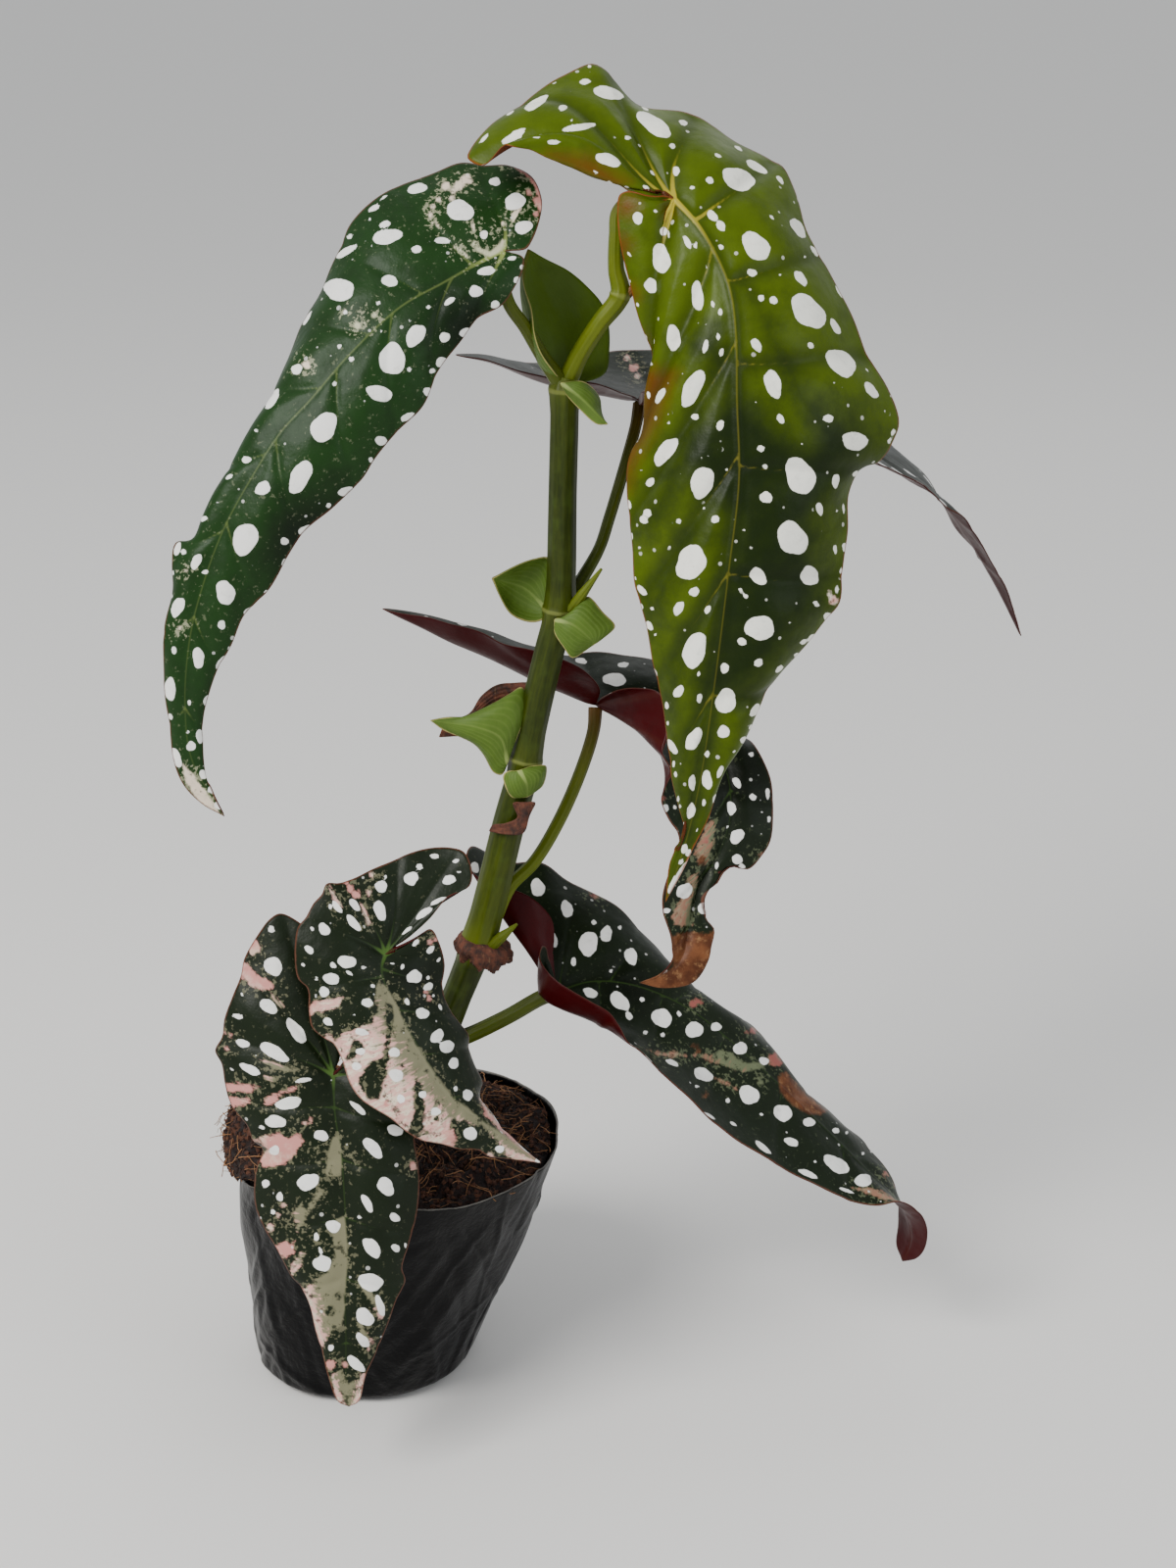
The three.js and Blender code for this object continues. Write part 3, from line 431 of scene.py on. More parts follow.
def grow_blade(name, leaf, material, rows, columns, seed, thickness=BLADE_MM):
    """The whole blade as a closed mesh, with what its material needs to know at every point."""
    grid, hub_rows = blade_surface(leaf, rows, columns)
    reach, out = vein_reach(grid, leaf)
    across = np.arange(-columns, columns + 1) / columns
    share = np.abs(across)[None]
    width_mm = np.linalg.norm(grid - grid[:, columns:columns + 1], axis=2) * 1000
    margin_mm = np.where(across < 0, width_mm[:, :1], width_mm[:, -1:])
    rim_mm = np.minimum(np.abs(width_mm - margin_mm), RIM_MM)
    relief = leaf["relief"]
    height = -relief["sink"] * np.exp(-(reach / relief["vein"]) ** 2) * (1 - VEIN_FADES * out)
    height += relief["puff"] * (1 - np.exp(-(reach / PUFF_MM) ** 2)) * np.sin(math.pi * share ** 0.7)
    slow = ripple(grid, SLOW_WAVE_M, seed) * np.clip(width_mm / SLOW_WAVE_FROM_MM, 0, 1)
    height += relief["sway"] * slow
    height += relief["frill"] * ripple(grid, QUICK_WAVE_M, seed + 1) * share ** 4
    if "ridges" in relief:
        count, rise = relief["ridges"]
        height += rise * np.cos(2 * math.pi * count * across)[None]
    height *= np.clip(width_mm / RELIEF_FROM_MM, 0, 1)
    grid = grid + grid_normals(grid, hub_rows) * height[:, :, None] / 1000
    normals = grid_normals(grid, hub_rows)
    half = thickness / 2000 * (1 - THINNED * share ** 8)
    ends = place([leaf["midrib"][0], leaf["midrib"][-1]])
    end_ups = np.stack([normals[0, columns], normals[-1, columns]])
    layers = []
    for face in (1, -1):
        layers.append((grid + face * normals * half[:, :, None]).reshape(-1, 3))
        layers.append(ends + face * end_ups * thickness / 4000)
    vertices, faces, kept = welded(np.vstack(layers), sheet_faces(rows - 1, 2 * columns + 1))
    blade = new_object(name, vertices.tolist(), faces, material)

    points = np.vstack([grid.reshape(-1, 3), ends])
    ups = np.vstack([normals.reshape(-1, 3), end_ups])
    sight = EYE - points
    facing = np.sum(ups * sight, axis=1) / np.linalg.norm(sight, axis=1)
    spots = spot_reach(points, facing, leaf["spots"], seed)
    hub_mm = np.linalg.norm(points - ends[0], axis=1) * 1000
    unseen = (facing < EDGE_ON) & (hub_mm > CLEAR_HUB_MM)
    spots = scatter_spots(points, spots, unseen, leaf["strewn"], seed)

    def pad(values):
        return np.concatenate([values.reshape(-1), [0, 0]])

    def both(values):
        return np.tile(values, 2)[kept]

    set_values(blade.data, "spot", both(spots))
    set_values(blade.data, "vein", both(pad(reach)))
    set_values(blade.data, "out", both(pad(out)))
    set_values(blade.data, "rim", both(pad(rim_mm)))
    set_values(blade.data, "upper", np.repeat([1, 0], len(points))[kept])
    kept_green = patch_field(points, leaf.get("kept", []))
    # The first of these patches is painted shade; the others are the leaf's own colours.
    for patch in ("painted_shade", "warm", "cream", "pink", "brown"):
        field = patch_field(points, leaf.get(patch, []))
        set_values(blade.data, patch, both(np.minimum(field, -kept_green)))
    set_values(blade.data, "star", both(np.exp(-(hub_mm / leaf.get("star", 4)) ** 2)))
    part = np.repeat(np.arange(1, rows) / rows, 2 * columns + 1)
    along = np.concatenate([part, [0, 1]])
    sideways = np.concatenate([np.tile(across, rows - 1), [0, 0]])
    uv = np.tile(np.stack([along, sideways], axis=1), (2, 1))[kept]
    loops = np.zeros(len(blade.data.loops), np.int32)
    blade.data.loops.foreach_get("vertex_index", loops)
    blade.data.uv_layers.new(name="blade").data.foreach_set("uv", uv[loops].astype(np.float32).ravel())
    return blade


def eased(value, low, high, start=0.0, end=1.0):
    """A value that turns smoothly from start to end as the given one goes from low to high."""
    ramp = node(value.id_data, "ShaderNodeMapRange", {"Value": value, "From Min": low, "From Max": high,
                                                      "To Min": start, "To Max": end},
                interpolation_type="SMOOTHSTEP")
    return ramp.outputs["Result"]


def mixed(share, first, second):
    """The colour between two colours."""
    return node(share.id_data, "ShaderNodeMix", {0: share, 6: first, 7: second}, data_type="RGBA").outputs[2]


def sums(kind, first, *others):
    """One step of arithmetic on a value and others."""
    values = dict(enumerate((first, *others)))
    return node(first.id_data, "ShaderNodeMath", values, operation=kind).outputs[0]


def plus(first, second):
    """The sum of two values."""
    return sums("ADD", first, second)


def times(first, second):
    """The product of two values."""
    return sums("MULTIPLY", first, second)


def scaled(value, by, start):
    """A value made larger or smaller, and then moved."""
    return sums("MULTIPLY_ADD", value, by, start)


def value_of(tree, name):
    """A number that the mesh holds at each vertex."""
    return node(tree, "ShaderNodeAttribute", attribute_name=name).outputs["Fac"]


COLOURS = ("Light green", "Deep green", "Vein", "Spot", "Warm", "Cream", "Pink", "Brown", "Edge",
           "Underside", "Blush", "Sage")
NUMBERS = {"Dots": 0.5, "Vein share": 0.6, "Flecks": 0.6, "Wax": 0.0, "Stripes": 0.0, "Painted valley shade": 0.0,
           "Ragged": 0.5, "Blush from": 0.33}
HELD = ("spot", "vein", "out", "rim", "upper", "painted_shade", "warm", "cream", "pink", "brown", "star")
blade_skin = bpy.data.node_groups.new("blade_skin", "ShaderNodeTree")
for label in COLOURS:
    blade_skin.interface.new_socket(label, in_out="INPUT", socket_type="NodeSocketColor")
for label, value in NUMBERS.items():
    socket = blade_skin.interface.new_socket(label, in_out="INPUT", socket_type="NodeSocketFloat")
    socket.default_value = value
for label, kind in (("Colour", "Color"), ("Roughness", "Float"), ("Height", "Float")):
    blade_skin.interface.new_socket(label, in_out="OUTPUT", socket_type="NodeSocket" + kind)
given = blade_skin.nodes.new("NodeGroupInput").outputs
put = blade_skin.nodes.new("NodeGroupOutput")
held = {label: value_of(blade_skin, label) for label in HELD}

# The noises that the skin is made of, and the raggedness of its patches.
skin_at = here(blade_skin)
blade_uv = node(blade_skin, "ShaderNodeUVMap", uv_map="blade").outputs["UV"]
streak_uv = node(blade_skin, "ShaderNodeMapping", {"Vector": blade_uv, "Scale": (150, 5, 1)})
streaks = cloud(streak_uv.outputs["Vector"], 1.0, 4.0, 0.6)
mottle = cloud(skin_at, 160, 4.0, 0.6)
speckle = cloud(skin_at, 700, 2.0)
grain = cloud(skin_at, 420, 5.0, 0.7)
side_on = node(blade_skin, "ShaderNodeSeparateXYZ", {"Vector": blade_uv}).outputs["Y"]
outward = sums("ABSOLUTE", side_on)
patchy = plus(scaled(streaks, 4.6, -2.3), scaled(grain, 5.0, -2.5))
patchy = times(patchy, eased(outward, 0.02, 0.2, 0.12, 1))
patchy = times(patchy, given["Ragged"])

# Green tissue: painted shade turns it deep green in the shade patches and in the valleys along the veins;
# warm where it is young, veins on top.
painted_shade = eased(plus(held["painted_shade"], scaled(mottle, 8.0, -4.0)), -9, 11)
skin = mixed(painted_shade, given["Light green"], given["Deep green"])
skin = mixed(eased(mottle, 0.35, 0.75, 0.0, 0.3), skin, given["Deep green"])
skin = mixed(eased(plus(held["warm"], patchy), -4, 5, 0, 0.85), skin, given["Warm"])
# Painted shade: close to each vein the green is darkened, for the shade in the quilted valleys.
valley_shade = eased(scaled(mottle, 2.0, held["vein"]), 0.6, 5, 1, 0)
skin = mixed(times(valley_shade, given["Painted valley shade"]), skin, given["Deep green"])
vein_line = scaled(held["out"], 0.55, held["vein"])
vein_line = scaled(held["star"], -0.35, vein_line)
vein = eased(vein_line, 0.05, 0.5, 1, 0)
thin = eased(held["out"], 0.0, 0.5, 1.0, 0.25)
shown = times(sums("MAXIMUM", given["Vein share"], held["star"]), thin)
green = mixed(times(vein, shown), skin, given["Vein"])

# Tissue without green: flecks, then cream sectors that blush outward, then pink ones.
near_patch = sums("MAXIMUM", held["cream"], held["pink"])
flecks = scaled(eased(near_patch, -4.5, 0), 0.1, cloud(skin_at, 800, 3.0, 0.65))
fleck = times(eased(flecks, 0.62, 0.67), given["Flecks"])
fleck = times(fleck, eased(near_patch, -6, -1, 0.3, 1))
skin = mixed(fleck, green, given["Sage"])
pale = mixed(eased(streaks, 0.4, 0.56), given["Cream"], given["Blush"])
blushing = sums("SUBTRACT", plus(outward, scaled(streaks, 1.2, -0.6)), given["Blush from"])
pale = mixed(eased(blushing, -0.12, 0.12), given["Sage"], pale)
pale = mixed(eased(grain, 0.56, 0.66, 0, 0.8), pale, green)
rosy = mixed(eased(mottle, 0.48, 0.66, 0, 0.55), given["Pink"], given["Cream"])
for tone, patch in ((pale, "cream"), (rosy, "pink")):
    skin = mixed(eased(plus(held[patch], patchy), -0.35, 0.5), skin, tone)

# White spots with the tiny dots between them, the margin's thin line, and a stipule's stripes.
ragged = scaled(speckle, 0.5, -0.25)
spot = eased(plus(held["spot"], ragged), -0.12, 0.12, 1, 0)
dots = node(blade_skin, "ShaderNodeTexVoronoi", {"Vector": skin_at, "Scale": 260, "Randomness": 1}).outputs
dot_size = node(blade_skin, "ShaderNodeSeparateColor", {"Color": dots["Color"]}).outputs["Red"]
dot_reach = sums("SUBTRACT", dots["Distance"], scaled(dot_size, 0.26, -0.1))
dot = times(eased(dot_reach, -0.02, 0.02, 1, 0), eased(held["spot"], 0.7, 1.4))
white = sums("MAXIMUM", spot, times(dot, given["Dots"]))
spot_tone = mixed(eased(grain, 0.5, 0.75, 0, 0.35), given["Spot"], tint("#a9a8a2"))
skin = mixed(white, skin, spot_tone)
skin = mixed(eased(plus(held["rim"], ragged), 0.1, 0.55, 0.8, 0), skin, given["Edge"])
stripe = eased(sums("SINE", times(side_on, 44.0)), 0.2, 1.0)
skin = mixed(times(stripe, given["Stripes"]), skin, given["Vein"])

# The underside with its veins, the dried parts, and the skin's gloss and fine pebbles.
under = mixed(eased(held["vein"], 0.3, 1.3, 0.35, 0), given["Underside"], given["Warm"])
under = mixed(eased(mottle, 0.5, 0.9, 0, 0.4), under, given["Deep green"])
whole = mixed(eased(held["upper"], 0.35, 0.65), under, skin)
dry = eased(plus(held["brown"], patchy), -0.4, 0.7)
dry_tone = mixed(eased(mottle, 0.35, 0.65), given["Brown"], tint("#6a4127"))
dry_tone = mixed(eased(grain, 0.52, 0.7, 0, 0.5), dry_tone, tint("#9a7550"))
gloss = plus(plus(scaled(mottle, 0.16, 0.3), times(white, 0.1)), given["Wax"])
pebbles = node(blade_skin, "ShaderNodeTexVoronoi", {"Vector": skin_at, "Scale": 1500}).outputs["Distance"]
fine = scaled(pebbles, 0.5, times(speckle, 0.5))
quilt = cloud(skin_at, 230, 1.0)
fill(put, {"Colour": mixed(dry, whole, dry_tone), "Roughness": gloss, "Height": scaled(quilt, 6.0, fine)})


def blade_material(name, colours, numbers):
    """A leaf skin of its own colours: waxy, finely pebbled, spotted above and plain below."""
    material, tree, shader = new_material(name)
    paint = node(tree, "ShaderNodeGroup", {**colours, **numbers}, node_tree=blade_skin).outputs
    fill(shader, {"Base Color": paint["Colour"], "Roughness": paint["Roughness"],
                  "Normal": bumped(paint["Height"], 0.35, 0.00012), "Specular IOR Level": 0.13})
    return material


def seat(piece, node_name):
    """Puts a finished piece in the place of its solid."""
    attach(piece, "root")
    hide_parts(node_name)


crown = {
    "fan": 0.33, "pace": (1.2, 1), "star": 16, "swell": [[0, 1.5, 3, 3, 2, 0], [0, 2, 4, 5, 3, 0]],
    "lift": {"side": 1, "from": 0.07, "to": 0.27, "by": (0, 3, 8)},
    "midrib": [
        (688, 203, -10), (714, 232, -16), (736, 271, -21), (746, 300, -25), (751, 343, -29),
        (752, 410, -33), (754, 489, -37), (743, 586, -41), (728, 705, -43), (714, 798, -43),
        (698, 865, -42), (679, 921, -40),
    ],
    "left": [
        (660, 203, -12), (633, 198, -10), (630, 219, -10), (636, 258, -11), (645, 297, -13),
        (655, 336, -15), (663, 370, -17), (655, 424, -20), (642, 463, -21), (640, 496, -23),
        (643, 539, -26), (646, 589, -29), (656, 626, -32), (671, 698, -36), (683, 765, -39),
        (692, 820, -41), (697, 850, -42), (683, 881, -41),
    ],
    "right": [
        (662, 197, -11), (636, 190, -9), (606, 180, -8), (584, 169, -8), (558, 161, -8), (538, 152, -8),
        (515, 151, -9), (495, 170, -8), (478, 163, -6), (482, 150, -3), (493, 135, 0), (509, 118, 4),
        (541, 96, 10), (574, 81, 14), (603, 66, 17), (616, 73, 17), (636, 96, 16), (655, 109, 15),
        (704, 117, 16), (727, 130, 16), (753, 148, 14), (785, 164, 12), (798, 170, 10), (810, 190, 7),
        (821, 229, 2), (837, 258, -2), (854, 291, -6), (880, 349, -11), (906, 395, -14), (917, 431, -16),
        (909, 450, -18), (895, 470, -19), (875, 480, -21), (865, 503, -23), (864, 546, -26),
        (860, 586, -28), (856, 616, -30), (842, 632, -31), (812, 665, -34), (789, 695, -36),
        (772, 728, -38), (756, 758, -39), (739, 778, -40), (729, 811, -41), (723, 834, -42),
        (703, 874, -42),
    ],
    "left_veins": [0.3, 0.42, 0.52, 0.62, 0.72, 0.82],
    "right_veins": [0.16, 0.24, 0.31, 0.38, 0.46, 0.54, 0.63, 0.72, 0.82],
    "sweep": 0.12,
    "relief": {"sink": 1.0, "vein": 1.9, "puff": 1.3, "sway": 0.6, "frill": 0.5},
    "spots": [
        (601, 68, 2.5, 2), (597, 84, 6, 3.3, -10), (620, 95.5, 16, 7, 10), (547.5, 106, 15, 4.5, -30),
        (574, 111, 5, 3, -10), (566, 85, 3.5, 0.8, -25), (521, 116, 5, 1.2, -30), (494, 142, 7, 2, -48),
        (524.5, 139.5, 15, 4.5, -30), (547, 141, 8, 1.2, -25), (591, 130.5, 20, 3.6, -8),
        (565, 145, 7.5, 2.5, -5), (520, 132, 1.5, 1), (583, 123.5, 2.5, 1.2, -20),
        (626.5, 140, 2, 1.5, 20), (640, 141, 4, 2, 10), (620, 163.5, 13.5, 6.5, 18),
        (493.5, 169, 2.8, 2.2), (608, 175.5, 3, 1.5, 30), (665, 177, 3, 1.5, 45), (659, 192, 4, 2, 30),
        (667, 128, 21, 9, 33), (658, 111.5, 4.5, 1.5, 30), (685.5, 149.5, 3.3, 2.8, 20),
        (690, 175, 5, 4, 80), (697, 126, 5, 3, 20), (732, 159.5, 4, 2, 25), (753, 152, 5, 1.8, 30),
        (771.5, 171, 13, 4.5, 33), (795.5, 184, 5.5, 2.5, 50), (804.5, 180, 1.5, 1, 60),
        (753, 183.5, 18.5, 11.5, 30), (724, 184.5, 4.5, 3.5, 20), (706.5, 192, 3, 1.8, 10),
        (814, 204, 4, 1, 70), (727, 221, 7, 4.5, 40), (735.5, 231, 6, 4.5, 50), (787, 222.5, 3, 1.5, 50),
        (813.5, 233, 13, 5.5, 58), (823.5, 228, 1.5, 1), (651, 222.5, 6.5, 5.5, 70),
        (668.5, 215.5, 2.5, 1.5, 30), (683, 239, 4, 1.2, 85), (701.5, 247.5, 8, 3.2, 65),
        (710, 250.5, 4, 2, 90), (735.5, 252.5, 3.5, 2.5, 40), (771, 251.5, 19, 11.5, 45),
        (830.5, 256.5, 6.5, 2.5, 58), (820.5, 262.5, 1.2), (675, 264, 15.5, 10.5, 80),
        (642.5, 259.5, 3, 1.3, 50), (720.5, 273, 2.5, 1.3, 70), (767, 278.5, 5.5, 4.5, 20),
        (795.5, 281, 1.3, 1), (836.5, 284, 1.2, 1), (816.5, 284.5, 9.5, 4.8, 58), (664.5, 291.5, 8, 7, 60),
        (642.5, 287, 2, 1.5, 60), (776.5, 304.5, 3.8, 3.5), (789, 307, 5, 4, 30), (712, 302, 16, 7, 85),
        (727.5, 311, 3.8, 2.2, 70), (735, 318.5, 4, 2.2, 90), (824, 318, 22, 14.5, 52),
        (856, 298, 8, 1.8, 62), (651, 311, 2.5, 1.5, 60), (713.5, 330.5, 1.3, 1.2),
        (851.5, 333.5, 9, 4, 58), (687.5, 345, 14, 7.8, 88), (658.5, 344.5, 4.5, 2.2, 70),
        (733, 343.5, 3.8, 2.2, 85), (771.5, 352, 8.5, 4.5, 52), (826.5, 352.5, 3.8, 3.2, 30),
        (720, 353.5, 7.5, 3, 100), (736, 359.5, 4.3, 2.5, 95), (665, 371, 2.5, 1.5, 60),
        (857.5, 370.5, 17.5, 13, 40), (881, 354, 3, 1, 70), (884, 378, 3, 1, 60), (707, 396, 21, 9.5, 118),
        (788.5, 392, 15.5, 9, 68), (851, 391, 1.3, 1.2), (888.5, 398.5, 10.5, 5, 48),
        (910, 405, 3.5, 1.5, 45), (674.5, 404, 9.5, 3.5, 118), (662.5, 403, 4, 2, 80),
        (709.5, 425.5, 4.2, 3.5), (735, 434, 6, 3.8, 105), (771, 410, 1.5, 1), (773.5, 422, 1.5, 1.3),
        (796.5, 427.5, 5.5, 3.8, 60), (844.5, 427, 5.8, 4.5), (902.5, 421, 2.3),
        (916.5, 429, 2.3, 1.3, 80), (683, 431, 1.8, 1.5), (682.5, 422, 1.3, 1.2),
        (680, 460.5, 18, 8.5, 125), (664, 492, 5.5, 4, 140), (655, 480, 1.3, 1.2),
        (716.5, 492, 17.5, 12, 115), (732.5, 457.5, 1.5), (722.5, 464.5, 1.5), (716, 468, 1.5),
        (741.5, 478.5, 2.2, 2), (776.5, 457.5, 4.2, 3.8, 30), (780.5, 476, 3.3, 2.8),
        (781.5, 507.5, 7, 6, 40), (871.5, 450, 13.3, 10.5), (816, 485.5, 21.5, 15, 75), (818, 452.5, 1.2),
        (852, 490.5, 7.5, 4, 100), (872, 483, 4, 2.5, 130), (911, 441, 4.5, 2.2, 120),
        (907, 450, 3, 2, 120), (642, 515, 5.5, 2.5, 70), (661.5, 523.5, 5, 4), (657.5, 530.5, 4.8, 4, 30),
        (692.5, 531.5, 3, 2.8, 80), (718.5, 519, 1.8, 1.5), (730, 530, 4.5, 3.8, 120),
        (835.5, 519, 7.5, 3.5, 80), (853, 521, 1.7), (860, 519, 5.5, 1.5, 85), (759, 541, 2, 1.7, 30),
        (808, 549, 18.5, 16, 60), (644.5, 548, 5, 1.7, 95), (851.5, 560.5, 5, 2, 80),
        (861, 558.5, 4.5, 2.5, 90), (683.5, 559, 2.7, 1.7, 110), (735.5, 566, 1.5, 1.3),
        (766.5, 559, 2.7, 1.5, 90), (653, 559, 2, 1.3), (705.5, 574, 19, 15.5, 125), (754, 584, 1.2),
        (773.5, 588, 10.5, 8, 60), (858, 582, 4, 1.8, 100), (825.5, 587.5, 11.5, 9.5, 50),
        (648.5, 590, 2.2, 1.2, 60), (655.5, 602.5, 7, 3.5, 45), (708.5, 603.5, 6.2, 4.5, 140),
        (756, 602.5, 3.3, 2, 40), (761, 608.5, 2.8, 2.5), (853.5, 600, 3.3, 3), (853, 605, 3, 1, 80),
        (693, 620.5, 7.8, 5, 120), (722.5, 622, 5, 3, 110), (654.5, 619, 4, 2.3, 70), (666, 621, 2.2, 2),
        (832, 616, 3.8, 2.8, 20), (844, 628.5, 5.2, 4, 150), (663, 638.5, 6, 3.2, 60),
        (669, 647.5, 2.3, 1.3, 160), (775, 640.5, 15.5, 13.5, 20), (757, 654.5, 5.5, 4),
        (805.5, 635.5, 1.8, 1.3), (828, 650.5, 6, 3.3, 150), (819, 654.5, 4, 2.8, 160),
        (709, 663.5, 19, 12, 110), (812, 668, 3.5, 2, 150), (773.5, 676, 5.5, 4, 160),
        (794.5, 682, 5, 2.8, 140), (739.5, 681.5, 5.8, 4.8, 120), (713, 687.5, 2.8, 1.7, 110),
        (667.5, 685.5, 6, 3, 60), (693, 705.5, 7.5, 4.5, 130), (713.5, 712, 5, 2.8, 95),
        (740.5, 715, 14.5, 10.5, 110), (769.5, 724.5, 8, 4, 130), (787, 699, 2, 1.7, 150),
        (681, 720, 4.5, 2, 85), (682, 738, 2.2, 1.5, 80), (765, 741.5, 2.7), (738.5, 746.5, 6.7, 6.5),
        (708, 754, 13.5, 6.5, 115), (757.5, 754.5, 3.8, 3.5, 150), (748.5, 766.5, 2, 1.7),
        (686.5, 762, 8.5, 4, 60), (721.5, 769, 3.7, 2.7, 110), (688, 779.5, 3, 1.7, 90),
        (690, 789.5, 3, 1.7, 80), (706, 798.5, 8, 3.7, 88), (721.5, 795.5, 10.3, 5.7, 88),
        (734.5, 787, 7, 2.5, 110), (692.5, 815, 3, 1.3, 100), (694.5, 822.5, 2, 1.5, 90),
        (728.5, 814.5, 5, 2, 105), (718.5, 819, 3.7, 2, 95), (705, 827, 8.8, 4.7, 95),
        (698.5, 842, 3, 1.7, 85), (711, 847, 2.7, 1, 100), (720, 855, 8, 3, 110),
        (698.5, 865.5, 5.5, 3, 100), (702.5, 870, 4.5, 3.5, 130), (697, 893, 27, 7, 122),
        (695, 879, 3.5, 2, 130),
    ],
    "strewn": 60,
    # Painted shade: deep green in the valleys that run down from the midrib and over the lower half.
    "painted_shade": [
        [(760, 290), (800, 350), (830, 400), (880, 430), (905, 460), (862, 500), (840, 540), (850, 620),
         (790, 700), (740, 730), (700, 720), (715, 620), (735, 540), (700, 490), (665, 500), (690, 440),
         (735, 400), (700, 350), (735, 330), (770, 400), (820, 440), (790, 370)],
        [(752, 395), (748, 425), (700, 490), (662, 545), (650, 545), (690, 470)],
        [(750, 480), (745, 515), (700, 575), (665, 650), (655, 625), (695, 545)],
        [(742, 575), (738, 610), (700, 680), (685, 750), (674, 715), (700, 640)],
        [(728, 690), (722, 730), (700, 790), (695, 830), (688, 795), (705, 740)],
        [(735, 640), (755, 640), (740, 720), (715, 800), (705, 860), (695, 850), (712, 780), (728, 700)],
    ],
    "warm": [
        (640, 210, 10), (634, 250, 8), (642, 300, 8), (652, 350, 8), (684, 215, 4),
        [(655, 372), (690, 380), (672, 430), (650, 470), (640, 500), (636, 470), (650, 424)],
        [(560, 158), (600, 160), (640, 185), (630, 192), (600, 180)],
    ],
    "cream": [(850, 612, 5), (846, 606, 4), (668, 698, 3)],
}
# The young leaf's skin also takes painted shade along its veins.
crown_skin = blade_material("young_leaf", {
    "Light green": tint("#435400"), "Deep green": tint("#101d00"), "Vein": tint("#a0942e"),
    "Warm": tint("#5e2e04"), "Edge": tint("#7a3a18"), "Underside": tint("#4a2208"),
    "Spot": tint("#e6e6dc"), "Cream": tint("#dcd0bc"), "Blush": tint("#d6a096"), "Sage": tint("#8a9670"),
}, {"Vein share": 0.3, "Flecks": 0.0, "Painted valley shade": 0.45})
crown_blade = grow_blade("crown_blade", crown, crown_skin, 330, 56, seed=11)
seat(crown_blade, "leaf_crown")


